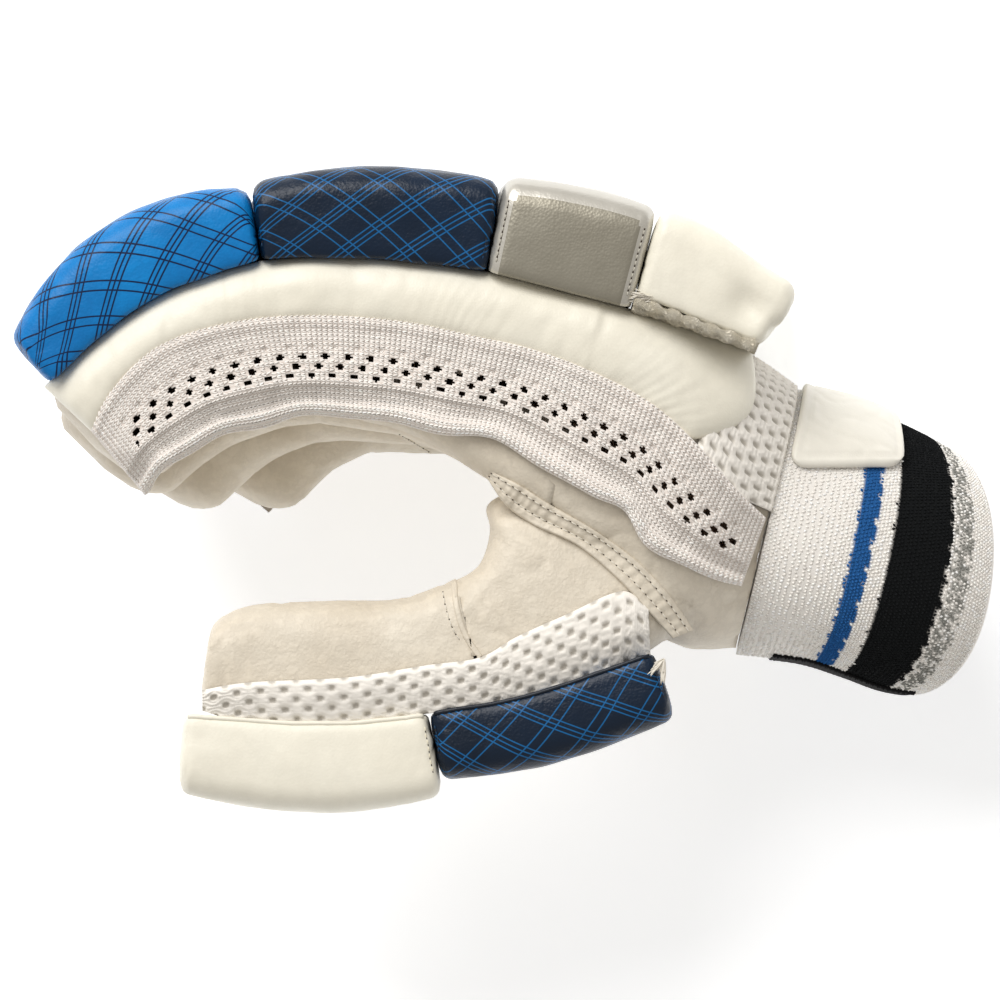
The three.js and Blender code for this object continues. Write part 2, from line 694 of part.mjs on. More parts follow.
const lastRow = sideRows.length - 1;
const stripShares = [0, 0.16, 0.84, 1];
const stripProfile = [0.45, 1, 1, 0.45];

function sideStrip(finger, isNear) {
  const lines = spread(12).map((share) => {
    const t = share * stripEndRow / lastRow;
    return sideLine(finger, t, 'seat', 'seam', stripShares, fit + seatSink);
  });
  const thicknessAt = (along, _, line) => {
    const ends = Math.min(1, 0.6 + 8 * Math.min(along, 1 - along));
    return sidePadThickness * stripProfile[line] * ends;
  };
  return laidSheet(lines, isNear, thicknessAt);
}

// The knit gusset stands thickest at its rolled hem
const hemLine = gussetLines.length - 2;
const gussetProfile = (line) => (line >= hemLine ? sidePadThickness : gussetThickness);

function gusset(finger, isNear, steps, isOpen) {
  const lines = spread(steps).map((share) => {
    const t = lerp(0, 0.985, share);
    return sideLine(finger, t, 'seam', 'hem', isOpen ? gussetLines : plainLines, 0);
  });
  const thicknessAt = (along, _, line) => {
    const row = isOpen ? line : gussetLines.indexOf(plainLines[line]);
    return gussetProfile(row);
  };
  return laidSheet(lines, isNear, thicknessAt, isOpen);
}

const plainLines = [gussetLines[0], gussetLines[4], gussetLines[hemLine], 1];
const isHole = (column, row) => {
  const holeRow = (row - 1) / 2;
  const inBand = Number.isInteger(holeRow) && holeRow < holeRows;
  const isInside = column > 1 && column < 2 * holesPerRow;
  return inBand && isInside && (column + holeRow) % 2 === 0;
};
const knitWhite = 0xe9dedb;
const creamLeather = 0xefe8d4;
const [little] = fingers;
const index = fingers[3];
const gussetSteps = 2 * holesPerRow + 1;
const indexGusset = clearOfBody(gusset(index, true, gussetSteps, isHole));
addPiece('index_gusset', indexGusset, knitWhite, 0.95);
const littleGusset = clearOfBody(gusset(little, false, 14));
addPiece('little_gusset', littleGusset, knitWhite, 0.95);

// Pieces laid between two lines of the side view
function laidBetween(rows, steps, across, thickness) {
  const lines = spread(steps).map((t) => {
    const row = blend(rows, t);
    const up = plane(row.upAlong, row.upRise);
    const low = plane(row.lowAlong, row.lowRise);
    return spread(across).map((share) => up.clone().lerp(low, share));
  });
  return laidSheet(lines, true, () => thickness);
}

// Outlines of neighbours, grown by the clearance, that a laid piece is cut clear of
function grownPrism(rows, steps, finger, isNear) {
  const rings = spread(steps).map((t) => {
    const row = blend(rows, t);
    const up = bend(plane(row.upAlong, row.upRise), finger);
    const low = bend(plane(row.lowAlong, row.lowRise), finger);
    const across = up.clone().sub(low).normalize().multiplyScalar(fit);
    const high = up.clone().add(across);
    const deep = low.clone().sub(across);
    const edges = isNear ? [2 * handRoof, handRoof / 2] : [handRoof / 2, -handRoof];
    const corners = [[high, edges[0]], [deep, edges[0]], [deep, edges[1]], [high, edges[1]]];
    return corners.map(([point, z]) => new THREE.Vector3(point.x, point.y, z));
  });
  return toSolid(loft(rings));
}

const gussetRows = sideRows.map((row) => ({
  upAlong: row.seamAlong, upRise: row.seamRise, lowAlong: row.hemAlong, lowRise: row.hemRise,
}));
const indexGussetPrism = grownPrism(gussetRows, gussetSteps, index, true);
const littleGussetPrism = grownPrism(gussetRows, 28, little, false);
const palmSeamPrism = grownPrism(palmSeamRows, 10, index, true);
const indexStrip = clearOfBody(sideStrip(index, true));
addPiece('index_side_strip', indexStrip, creamLeather, 0.55);
const littleStrip = clearOfBody(sideStrip(little, false));
addPiece('little_side_strip', littleStrip, creamLeather, 0.55);

// The strips grown a little along the hand, as a cutter for the mesh beside them
function stripCutter(finger, isNear) {
  const strip = toSolid(sideStrip(finger, isNear));
  const moves = [[fit, 0], [-fit, 0], [0, fit], [0, -fit]];
  return moves.reduce((sum, [x, y]) => sum.add(strip.translate([x, y, 0])), strip);
}

const meshBand = laidBetween(thumbMeshRows, 12, 2, bandThickness);
const thumbMesh = clearOfBody(meshBand, palmSeamPrism, indexGussetPrism);
addPiece('thumb_mesh', thumbMesh, 0xf0ead8, 0.9);
const palmSeam = clearOfBody(laidBetween(palmSeamRows, 9, 2, seamBandThickness), indexGussetPrism);
addPiece('palm_seam', palmSeam, creamLeather, 0.6);

// A patch of a tube's surface: from one turn angle to another, degrees from the back towards the near side
function patch(ringAt, ringSides, share, turn, lift, thickness, steps, turns) {
  const grid = (grow) => spread(steps).map((part) => {
    const ring = ringAt(lerp(share[0], share[1], part), grow);
    return spread(turns).map((side) => {
      const place = lerp(turn[0], turn[1], side) / 360 * ringSides;
      const before = Math.floor(place);
      const wrap = (k) => ring[((k % ringSides) + ringSides) % ringSides];
      return wrap(before).clone().lerp(wrap(before + 1), place - before);
    });
  });
  return sheet(grid(lift), grid(lift + thickness));
}

// The mesh takes its lines from the hand's own sections, so that it follows them face to face
const meshTurn = 360 / handSides;
const meshTurns = [-7 * meshTurn, 7 * meshTurn];
const backMesh = patch(handRing, handSides, [0.5, 1], meshTurns, fit, meshThickness, handSteps / 2, 14);
const blockTo = rollRows[rollRows.length - 1].to;
const blockFootprint = toSolid(loft([1, 1.1, 1.2, blockTo].map((share) => (
  roundedRing(placeOn(indexSeat, share), -fingerCorner, rollHeight, -fit, handRoof + handFloor, rollSeam)
))));
const stripCutters = [stripCutter(index, true), stripCutter(little, false)];
const meshCutters = [rootOuter(fit), indexGussetPrism, littleGussetPrism, blockFootprint, ...stripCutters];
const cutMesh = meshCutters.reduce((sum, other) => sum.subtract(other), toSolid(backMesh));
addPiece('back_mesh', largestOf(cutMesh), 0xe9e2dd, 0.9);

// The cuff starts a clearance past the wrist end of the hand
const cuffSides = 28;
const wristBack = plane(wristRow.backAlong, wristRow.backRise);
const wristPalm = plane(wristRow.palmAlong, wristRow.palmRise);
const wristAcross = wristBack.clone().sub(wristPalm).normalize();
const wristForward = new THREE.Vector2(wristAcross.y, -wristAcross.x);
const cuffShift = wristForward.clone().multiplyScalar(2 * fit);
const cuffBack = wristBack.clone().add(cuffShift).addScaledVector(wristAcross, cuffFullness);
const cuffPalm = wristPalm.clone().add(cuffShift).addScaledVector(wristAcross, -cuffFullness);
cuffRows[0].backAlong = cuffBack.x / gloveLength;
cuffRows[0].backRise = cuffBack.y / gloveHeight;
cuffRows[0].palmAlong = cuffPalm.x / gloveLength;
cuffRows[0].palmRise = cuffPalm.y / gloveHeight;

function cuffRing(t, grow) {
  const row = blend(cuffRows, t);
  const zMid = handFloor + (wristCentre - row.fall) * handWidth;
  const halfDepth = row.wide * wristDepth / 2 + cuffFullness;
  const back = plane(row.backAlong, row.backRise);
  const palm = plane(row.palmAlong, row.palmRise);
  return sectionRing(back, palm, zMid, halfDepth, 2.1, grow, cuffSides, row.tilt);
}

const cuffSpans = 7;
const cuffSteps = spread(cuffSpans);
addPiece('cuff', sleeve(
  cuffSteps.map((t) => cuffRing(t, 0)),
  cuffSteps.map((t) => cuffRing(t, -cuffWall)),
  false,
), 0xece8e4, 0.95);
const cuffTurn = 360 / cuffSides;
const strapTurns = [-9 * cuffTurn, 3 * cuffTurn];
const strap = patch(cuffRing, cuffSides, [0, 4 / cuffSpans], strapTurns, fit, strapThickness, 4, 12);
addPiece('wrist_strap', strap, 0xf3efe6, 0.4);
const elasticTurns = [180 - cuffTurn, 180 + cuffTurn];
const elasticSpan = [1 / cuffSpans, 1];
const elasticSteps = cuffSpans - 1;
const elastic = patch(cuffRing, cuffSides, elasticSpan, elasticTurns, fit, elasticThickness, elasticSteps, 2);
addPiece('wrist_elastic', elastic, 0x17161a, 0.9);

// The origin is under the middle of the glove, on the surface that it lies on
const box = new THREE.Box3().setFromObject(glove);
const middle = box.getCenter(new THREE.Vector3());
glove.position.set(-middle.x, -middle.y, -box.min.z);

export default glove;
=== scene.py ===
import math
from contextlib import contextmanager

import bmesh
import bpy
import numpy as np
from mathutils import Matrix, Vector, noise
from mathutils.bvhtree import BVHTree


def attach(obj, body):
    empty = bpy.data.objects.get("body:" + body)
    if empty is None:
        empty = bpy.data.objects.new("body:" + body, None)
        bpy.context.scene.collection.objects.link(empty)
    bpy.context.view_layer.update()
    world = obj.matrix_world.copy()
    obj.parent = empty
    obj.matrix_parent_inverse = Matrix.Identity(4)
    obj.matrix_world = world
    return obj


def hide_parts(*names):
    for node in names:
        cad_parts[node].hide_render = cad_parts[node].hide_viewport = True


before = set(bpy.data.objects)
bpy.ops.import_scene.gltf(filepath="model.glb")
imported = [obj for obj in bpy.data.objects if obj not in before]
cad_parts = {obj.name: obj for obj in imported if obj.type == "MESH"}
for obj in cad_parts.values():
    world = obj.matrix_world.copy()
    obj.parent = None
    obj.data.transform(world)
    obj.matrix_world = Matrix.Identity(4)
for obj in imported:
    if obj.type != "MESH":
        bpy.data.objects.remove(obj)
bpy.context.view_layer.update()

# A right-hand cricket batting glove on its little-finger side, index finger and thumb up.
# Shapes are worked out in millimetres and turned to metres where a mesh is made.
mm = 0.001
rng = np.random.default_rng(24)

glove = {
    "length": 242.0,
    "height": 160.0,
    "shift": (120.795, 80.559),
    "fingerWidth": 22.8,
    "fingerGap": 0.6,
    "fingerDepth": 38.0,
    "sidePad": 4.6,
    "fit": 0.3,
    "leather": 2.0,
    "rollHeight": 23.0,
    "thumbRollHeight": 21.0,
    "thumbWidth": 33.0,
    "thumbSink": 1.2,
    "wristDepth": 60.0,
    "wristCentre": 0.485,
}
handWidth = 4 * glove["fingerWidth"] + 3 * glove["fingerGap"]
handFloor = glove["sidePad"] + glove["fit"]
handRoof = handFloor + handWidth


def plane(along, rise):
    x = np.asarray(along) * glove["length"] - glove["shift"][0]
    y = np.asarray(rise) * glove["height"] - glove["shift"][1]
    return np.stack([x, y], axis=-1)


def blendRows(rows, t):
    # Smooth values between the rows of a table, for one place or many
    rows = np.asarray(rows, float)
    t = np.clip(np.asarray(t, float), 0, 1) * (len(rows) - 1)
    i = np.minimum(t.astype(int), len(rows) - 2)
    part = (t - i)[..., None]
    start, end = rows[i], rows[i + 1]
    before, after = rows[np.maximum(i - 1, 0)], rows[np.minimum(i + 2, len(rows) - 1)]
    pull = 2 * before - 5 * start + 4 * end - after
    twist = 3 * (start - end) + after - before
    return start + 0.5 * part * (end - before + part * (pull + part * twist))


def unit(values):
    # The same directions at length one
    return values / np.linalg.norm(values, axis=-1, keepdims=True)


def walkedAlong(points):
    # How far along its line each point lies
    return np.concatenate([[0], np.cumsum(np.linalg.norm(np.diff(points, axis=0), axis=-1))])


# Lines of the side view. Along runs from the fingertips, rise from the underside of the thumb rolls.
seatLine = [
    (0.033, 0.668), (0.085, 0.741), (0.136, 0.796), (0.188, 0.832), (0.252, 0.860), (0.365, 0.863), (0.484, 0.842),
    (0.559, 0.813), (0.604, 0.796), (0.652, 0.776), (0.703, 0.750), (0.762, 0.719), (0.800, 0.695),
]
knuckleRow = 8
knuckle = plane(*seatLine[knuckleRow])

# Seat, seam and hem of the outer sides, each along and rise, then how far the strip's end bellies out
sideRows = np.array([
    (0.030, 0.660, 0.075, 0.596, 0.129, 0.498, 0),
    (0.083, 0.736, 0.097, 0.660, 0.153, 0.538, 0),
    (0.136, 0.792, 0.146, 0.730, 0.203, 0.577, 0),
    (0.195, 0.832, 0.219, 0.766, 0.252, 0.607, 0),
    (0.280, 0.860, 0.301, 0.777, 0.310, 0.616, 0),
    (0.391, 0.857, 0.394, 0.768, 0.384, 0.608, 0),
    (0.484, 0.837, 0.473, 0.744, 0.451, 0.591, 0),
    (0.559, 0.808, 0.543, 0.718, 0.512, 0.563, 0),
    (0.610, 0.788, 0.600, 0.683, 0.571, 0.513, 0),
    (0.677, 0.758, 0.652, 0.641, 0.615, 0.476, 0.10),
    (0.758, 0.716, 0.696, 0.582, 0.646, 0.426, 0.34),
    (0.790, 0.690, 0.736, 0.513, 0.693, 0.378, 0.34),
    (0.800, 0.670, 0.772, 0.460, 0.746, 0.350, 0),
])
stripEnd = 10 / 12

# Hand sections: back and palm points, near and far as shares of the hand's width, squareness
handRows = [
    (0, 0, 0, 0, 1, 0, 9),
    (0.703, 0.7455, 0.606, 0.385, 0.985, 0.012, 5),
    (0.760, 0.698, 0.672, 0.266, 0.93, 0.06, 3.2),
    (0.803, 0.652, 0.742, 0.258, 0, 0, 2.3),
]
# Thumb sections: pad and back points, width as a share of the thumb's, sink into the hand
thumbRows = [
    (0.195, 0.255, 0.187, 0.178, 0.60, 0),
    (0.203, 0.296, 0.199, 0.158, 0.90, 0),
    (0.240, 0.322, 0.244, 0.148, 1.0, 0),
    (0.320, 0.330, 0.327, 0.145, 1.0, 0),
    (0.394, 0.336, 0.409, 0.160, 1.0, 0),
    (0.449, 0.363, 0.477, 0.172, 1.0, 0),
    (0.476, 0.390, 0.528, 0.187, 1.05, 0.02),
    (0.487, 0.441, 0.585, 0.213, 1.15, 0.03),
    (0.489, 0.488, 0.646, 0.246, 1.3, 0.06),
    (0.579, 0.535, 0.703, 0.317, 1.2, 0.22),
]
thumbSeam = 5 / 9
thumbBackLine = [
    (0.187, 0.152), (0.251, 0.145), (0.322, 0.141), (0.392, 0.149), (0.436, 0.160), (0.513, 0.180),
    (0.572, 0.206), (0.612, 0.228), (0.672, 0.260),
]
palmSeamRows = [
    (0.517, 0.512, 0.503, 0.480), (0.546, 0.484, 0.532, 0.449), (0.596, 0.440, 0.577, 0.417),
    (0.640, 0.391, 0.617, 0.367), (0.673, 0.338, 0.650, 0.314), (0.697, 0.285, 0.675, 0.272),
]
thumbMeshRows = [
    (0.190, 0.192, 0.190, 0.172), (0.238, 0.204, 0.240, 0.153), (0.340, 0.212, 0.340, 0.148),
    (0.422, 0.231, 0.420, 0.167), (0.476, 0.243, 0.478, 0.176), (0.514, 0.275, 0.520, 0.187),
    (0.564, 0.309, 0.572, 0.212), (0.622, 0.346, 0.618, 0.236), (0.650, 0.320, 0.652, 0.258),
]
# Cuff sections: back and palm points, depth as a share of the wrist's, fall, tilt in degrees
cuffRows = [
    (0, 0, 0, 0, 1, 0, 0),
    (0.860, 0.638, 0.809, 0.239, 1.0, 0.02, 8),
    (0.903, 0.607, 0.853, 0.220, 0.98, 0.045, 12),
    (0.941, 0.582, 0.893, 0.195, 0.96, 0.085, 22),
    (0.953, 0.574, 0.924, 0.184, 0.95, 0.12, 33),
]
# Curl in degrees, reach as a share of the index finger's length, depth
fingers = {
    "little": {"order": 0, "curl": 9.0, "reach": 0.80, "depth": 0.96},
    "ring": {"order": 1, "curl": 5.5, "reach": 0.93, "depth": 1.0},
    "middle": {"order": 2, "curl": 2.2, "reach": 1.0, "depth": 1.02},
    "index": {"order": 3, "curl": 0.0, "reach": 1.0, "depth": 1.0},
}


def bend(points, finger):
    # Fingers turn and shorten about the knuckle, the more the nearer a point is to the tip
    points = np.asarray(points, float)
    ahead = knuckle[0] - points[..., 0]
    ramp = np.clip(ahead / (0.3 * 0.604 * glove["length"]), 0, 1)
    ramp = ramp * ramp * (3 - 2 * ramp)
    arm = (points - knuckle) * (1 - (1 - finger["reach"]) * ramp)[..., None]
    turn = math.radians(finger["curl"]) * ramp
    x = arm[..., 0] * np.cos(turn) - arm[..., 1] * np.sin(turn)
    y = arm[..., 0] * np.sin(turn) + arm[..., 1] * np.cos(turn)
    return knuckle + np.stack([x, y], axis=-1)


class Line:
    # A smooth line through points, walked by distance
    def __init__(self, points, side=1, steps=48):
        points = np.asarray(points, float)
        ends = [2 * points[0] - points[1]], [2 * points[-1] - points[-2]]
        ringed = np.concatenate([ends[0], points, ends[1]])
        found = []
        for p0, p1, p2, p3 in zip(ringed, ringed[1:], ringed[2:], ringed[3:]):
            d0, d1, d2 = (math.sqrt(np.linalg.norm(b - a)) for a, b in ((p0, p1), (p1, p2), (p2, p3)))
            t1 = ((p1 - p0) / d0 - (p2 - p0) / (d0 + d1) + (p2 - p1) / d1) * d1
            t2 = ((p2 - p1) / d1 - (p3 - p1) / (d1 + d2) + (p3 - p2) / d2) * d1
            t = np.linspace(0, 1, steps, endpoint=False)[:, None]
            found.append(p1 + t1 * t + (-3 * p1 + 3 * p2 - 2 * t1 - t2) * t**2 + (2 * p1 - 2 * p2 + t1 + t2) * t**3)
        self.points = np.concatenate(found + [points[-1:]])
        self.walked = walkedAlong(self.points)
        self.length = self.walked[-1]
        self.side = side
        self.toKnuckle = self.walked[knuckleRow * steps] if len(points) > knuckleRow + 1 else self.length

    def at(self, distance):
        distance = np.asarray(distance, float)
        inside = np.clip(distance, 0, self.length)
        point = np.stack([np.interp(inside, self.walked, self.points[:, k]) for k in (0, 1)], axis=-1)
        step = 0.6
        a, b = np.clip(inside - step, 0, self.length), np.clip(inside + step, 0, self.length)
        tangent = unit(np.stack([np.interp(b, self.walked, self.points[:, k])
                                 - np.interp(a, self.walked, self.points[:, k]) for k in (0, 1)], axis=-1))
        point = point + tangent * (distance - inside)[..., None]
        normal = np.stack([-tangent[..., 1], tangent[..., 0]], axis=-1) * self.side
        return point, normal, tangent


seats = {name: Line(bend(plane(*np.array(seatLine).T), finger)) for name, finger in fingers.items()}
thumbSeat = Line(plane(*np.array(thumbBackLine).T), side=-1)
thumbSeat.toKnuckle = thumbSeat.length


def seatDistance(seat, share):
    share = np.asarray(share, float)
    return np.where(share <= 1, share * seat.toKnuckle, seat.toKnuckle + (share - 1) * seats["index"].toKnuckle)


def bandFloor(finger):
    return handFloor + finger["order"] * (glove["fingerWidth"] + glove["fingerGap"])


def sectionRing(top, low, zMid, halfDepth, power, sides, tilt=0.0, turns=None):
    # Rings of a bulging section, one for each top and low point; turns run from the back to the near side
    across = top - low
    half = np.linalg.norm(across, axis=-1, keepdims=True) / 2
    across = across / (2 * half)
    centre = (top + low) / 2
    forward = np.stack([across[..., 1], -across[..., 0]], axis=-1)
    angle = np.linspace(0, 2 * np.pi, sides, endpoint=False) if turns is None else np.radians(turns)
    power = np.asarray(power, float).reshape(-1, 1)
    up = np.sign(np.cos(angle)) * np.abs(np.cos(angle)) ** (2 / power) * half
    out = np.sign(np.sin(angle)) * np.abs(np.sin(angle)) ** (2 / power) * np.reshape(halfDepth, (-1, 1))
    lean = np.radians(np.reshape(tilt, (-1, 1)))
    slide = out * np.sin(lean)
    xy = centre[:, None] + across[:, None] * up[..., None] + forward[:, None] * slide[..., None]
    z = np.reshape(zMid, (-1, 1)) + out * np.cos(lean)
    return np.concatenate([xy, z[..., None]], axis=-1)


knucklePoint, knuckleNormal, knuckleAhead = seats["index"].at(seats["index"].toKnuckle)
knucklePalm = knucklePoint - knuckleNormal * 1.42 * glove["fingerDepth"]
shift = np.array(glove["shift"])
sizes = np.array([glove["length"], glove["height"]])
handRows[0] = (*((knucklePoint + shift) / sizes), *((knucklePalm + shift) / sizes), 1, 0, 9)
halfWrist = glove["wristDepth"] / 2 / handWidth
wristNear, wristFar = glove["wristCentre"] + halfWrist, glove["wristCentre"] - halfWrist
handRows[3] = (*handRows[3][:4], wristNear, wristFar, 2.3)
wristBack, wristPalm = plane(*handRows[3][:2]), plane(*handRows[3][2:4])
wristAcross = (wristBack - wristPalm) / np.linalg.norm(wristBack - wristPalm)
wristForward = np.array([wristAcross[1], -wristAcross[0]])
cuffFullness = 1.4
cuffRows[0] = (
    *((wristBack + 0.6 * wristForward + cuffFullness * wristAcross + shift) / sizes),
    *((wristPalm + 0.6 * wristForward - cuffFullness * wristAcross + shift) / sizes),
    1, 0, 0,
)


def handRings(t, sides, turns=None):
    row = blendRows(handRows, t)
    zMid = handFloor + (row[..., 4] + row[..., 5]) / 2 * handWidth
    half = (row[..., 4] - row[..., 5]) / 2 * handWidth
    return sectionRing(plane(row[:, 0], row[:, 1]), plane(row[:, 2], row[:, 3]), zMid, half, row[:, 6], sides,
                       turns=turns)


def thumbRings(t, sides):
    row = blendRows(thumbRows, t)
    depth = row[:, 4] * glove["thumbWidth"]
    zMid = handRoof - glove["thumbSink"] - row[:, 5] * glove["thumbWidth"] - depth / 2
    power = np.full(len(row), 3.6)
    return sectionRing(plane(row[:, 0], row[:, 1]), plane(row[:, 2], row[:, 3]), zMid, depth / 2, power, sides)


def cuffRings(t, sides):
    row = blendRows(cuffRows, t)
    zMid = handFloor + (glove["wristCentre"] - row[:, 5]) * handWidth
    half = row[:, 4] * glove["wristDepth"] / 2 + cuffFullness
    power = np.full(len(row), 2.1)
    return sectionRing(plane(row[:, 0], row[:, 1]), plane(row[:, 2], row[:, 3]), zMid, half, power, sides,
                       tilt=row[:, 6])


# Meshes

@contextmanager
def meshWork(piece):
    # A piece's mesh, opened for a change and put back after it
    work = bmesh.new()
    work.from_mesh(piece.data)
    yield work
    work.to_mesh(piece.data)
    work.free()


def gridFaces(rows, columns, closed=False):
    i, j = np.meshgrid(np.arange(rows - 1), np.arange(columns if closed else columns - 1), indexing="ij")
    a = i * columns + j
    b = i * columns + (j + 1) % columns
    return np.stack([a, b, b + columns, a + columns], axis=-1).reshape(-1, 4)


def addMesh(name, points, faces, material, smooth=True, uv=None, tint=None):
    # One object from points in millimetres; uv and tint are values at the points
    name = name.replace(" ", "_")
    points = np.ascontiguousarray(np.asarray(points, float).reshape(-1, 3) * mm)
    mesh = bpy.data.meshes.new(name)
    if isinstance(faces, np.ndarray):
        size, count = faces.shape[1], len(faces)
        mesh.vertices.add(len(points))
        mesh.vertices.foreach_set("co", points.ravel())
        mesh.loops.add(size * count)
        mesh.loops.foreach_set("vertex_index", np.ascontiguousarray(faces.ravel(), dtype=np.int32))
        mesh.polygons.add(count)
        mesh.polygons.foreach_set("loop_start", np.arange(0, size * count, size, dtype=np.int32))
        mesh.update(calc_edges=True)
        mesh.validate()
    else:
        mesh.from_pydata(points.tolist(), [], [list(face) for face in faces])
        mesh.validate()
    mesh.polygons.foreach_set("use_smooth", [smooth] * len(mesh.polygons))
    loops = np.empty(len(mesh.loops), dtype=np.int32)
    mesh.loops.foreach_get("vertex_index", loops)
    if uv is not None:
        layer = mesh.uv_layers.new(name="UVMap")
        layer.data.foreach_set("uv", np.asarray(uv, float).reshape(-1, 2)[loops].ravel())
    if tint is not None:
        colours = mesh.color_attributes.new(name="tint", type="FLOAT_COLOR", domain="POINT")
        values = np.ones((len(points), 4))
        values[:, :3] = np.asarray(tint, float).reshape(-1, 3)
        colours.data.foreach_set("color", values.ravel())
    made = bpy.data.objects.new(name, mesh)
    bpy.context.collection.objects.link(made)
    if material is not None:
        mesh.materials.append(material)
    return made


def settle(piece, nodes, slot):
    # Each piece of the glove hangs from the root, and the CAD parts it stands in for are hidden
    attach(piece, "root")
    if nodes:
        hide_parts(*nodes)
    return piece


def shapeNoise(points, scale, seed=0.0):
    # A smooth random value for each point, about -1 to 1; scale is the size of its features
    place = np.asarray(points, float).reshape(-1, 3) / scale + seed
    found = np.array([noise.noise(Vector(p)) for p in place])
    return found.reshape(np.shape(points)[:-1]) * 1.8


def closedSheet(inner, outer, hole=None):
    # A closed sheet between two grids of points; hole marks the cells that stay open
    rows, columns = inner.shape[:2]
    filled = np.ones((rows - 1, columns - 1), bool) if hole is None else ~hole
    padded = np.zeros((rows + 1, columns + 1), bool)
    padded[1:-1, 1:-1] = filled
    i, j = np.nonzero(filled)
    at = lambda r, c: r * columns + c
    a, b, c, d = at(i, j), at(i + 1, j), at(i + 1, j + 1), at(i, j + 1)
    lift = rows * columns
    quads = [np.stack([a, d, c, b], -1), np.stack([a, b, c, d], -1) + lift]
    for p, q, di, dj in ((a, b, 0, -1), (b, c, 1, 0), (c, d, 0, 1), (d, a, -1, 0)):
        edge = ~padded[i + 1 + di, j + 1 + dj]
        quads.append(np.stack([p, q, q + lift, p + lift], -1)[edge])
    points = np.concatenate([inner.reshape(-1, 3), outer.reshape(-1, 3)])
    return points, np.concatenate(quads)


def dropLoose(points, faces):
    used = np.unique(faces)
    renumber = np.full(len(points), -1)
    renumber[used] = np.arange(len(used))
    return points[used], renumber[faces], used


def beads(places, ups, alongs, lengths, widths, heights, rings=((-0.6, 0.75), (0.6, 0.75)), sides=5):
    # Many small bodies in one mesh: each lies along one direction, wide across it and proud of its surface
    count = len(places)
    ups = unit(ups)
    alongs = unit(alongs - ups * np.sum(ups * alongs, axis=1, keepdims=True))
    sideways = np.cross(ups, alongs)
    turn = np.linspace(0, 2 * np.pi, sides, endpoint=False)
    shape = [(-1, 0, 0)]
    for place, size in rings:
        shape += [(place, size * math.cos(k), size * math.sin(k)) for k in turn]
    shape.append((1, 0, 0))
    shape = np.array(shape)
    scale = np.stack([lengths / 2, widths / 2, heights / 2], axis=-1)
    local = shape[None] * scale[:, None]
    points = (places[:, None] + local[..., :1] * alongs[:, None] + local[..., 1:2] * sideways[:, None]
              + local[..., 2:] * ups[:, None])
    faces = []
    for k in range(sides):
        n = (k + 1) % sides
        faces.append((0, 1 + n, 1 + k))
        for r in range(len(rings) - 1):
            p = 1 + r * sides
            faces += [(p + k, p + n, p + sides + n), (p + k, p + sides + n, p + sides + k)]
        last = 1 + (len(rings) - 1) * sides
        faces.append((last + k, last + n, len(shape) - 1))
    faces = np.array(faces)
    allFaces = (faces[None] + (np.arange(count) * len(shape))[:, None, None]).reshape(-1, 3)
    return points.reshape(-1, 3), allFaces, len(shape)


# Finishes

class Group:
    # A shader node group with named inputs and outputs
    def __init__(self, name, inputs, outputs):
        self.tree = bpy.data.node_groups.new(name, "ShaderNodeTree")
        for label, kind, value in inputs:
            socket = self.tree.interface.new_socket(name=label, in_out="INPUT", socket_type=kind)
            socket.default_value = value
        for label, kind in outputs:
            self.tree.interface.new_socket(name=label, in_out="OUTPUT", socket_type=kind)
        self.inputs = self.tree.nodes.new("NodeGroupInput")
        self.outputs = self.tree.nodes.new("NodeGroupOutput")

    def add(self, kind, **values):
        return addNode(self.tree, kind, values)

    def link(self, source, target):
        self.tree.links.new(source, target)


def addNode(tree, kind, values):
    node = tree.nodes.new(kind)
    for key, value in values.items():
        if hasattr(node, key):
            setattr(node, key, value)
        else:
            node.inputs[int(key[2:]) if key.startswith("at") else key].default_value = value
    return node


def mathNode(group, operation, a, b=None, c=None):
    node = group.add("ShaderNodeMath", operation=operation)
    for k, value in enumerate((a, b, c)):
        if value is None:
            continue
        if isinstance(value, (int, float)):
            node.inputs[k].default_value = value
        else:
            group.link(value, node.inputs[k])
    return node.outputs[0]


def mixColour(group, share, a, b):
    node = group.add("ShaderNodeMix", data_type="RGBA")
    for k, value in ((0, share), (6, a), (7, b)):
        if isinstance(value, (int, float, tuple)):
            node.inputs[k].default_value = value
        else:
            group.link(value, node.inputs[k])
    return node.outputs[2]


def noiseAt(group, place, scale, detail=3.0, rough=0.55):
    node = group.add("ShaderNodeTexNoise", Detail=detail, Roughness=rough)
    group.link(place, node.inputs["Vector"])
    if isinstance(scale, (int, float)):
        node.inputs["Scale"].default_value = scale
    else:
        group.link(scale, node.inputs["Scale"])
    return node.outputs[0]


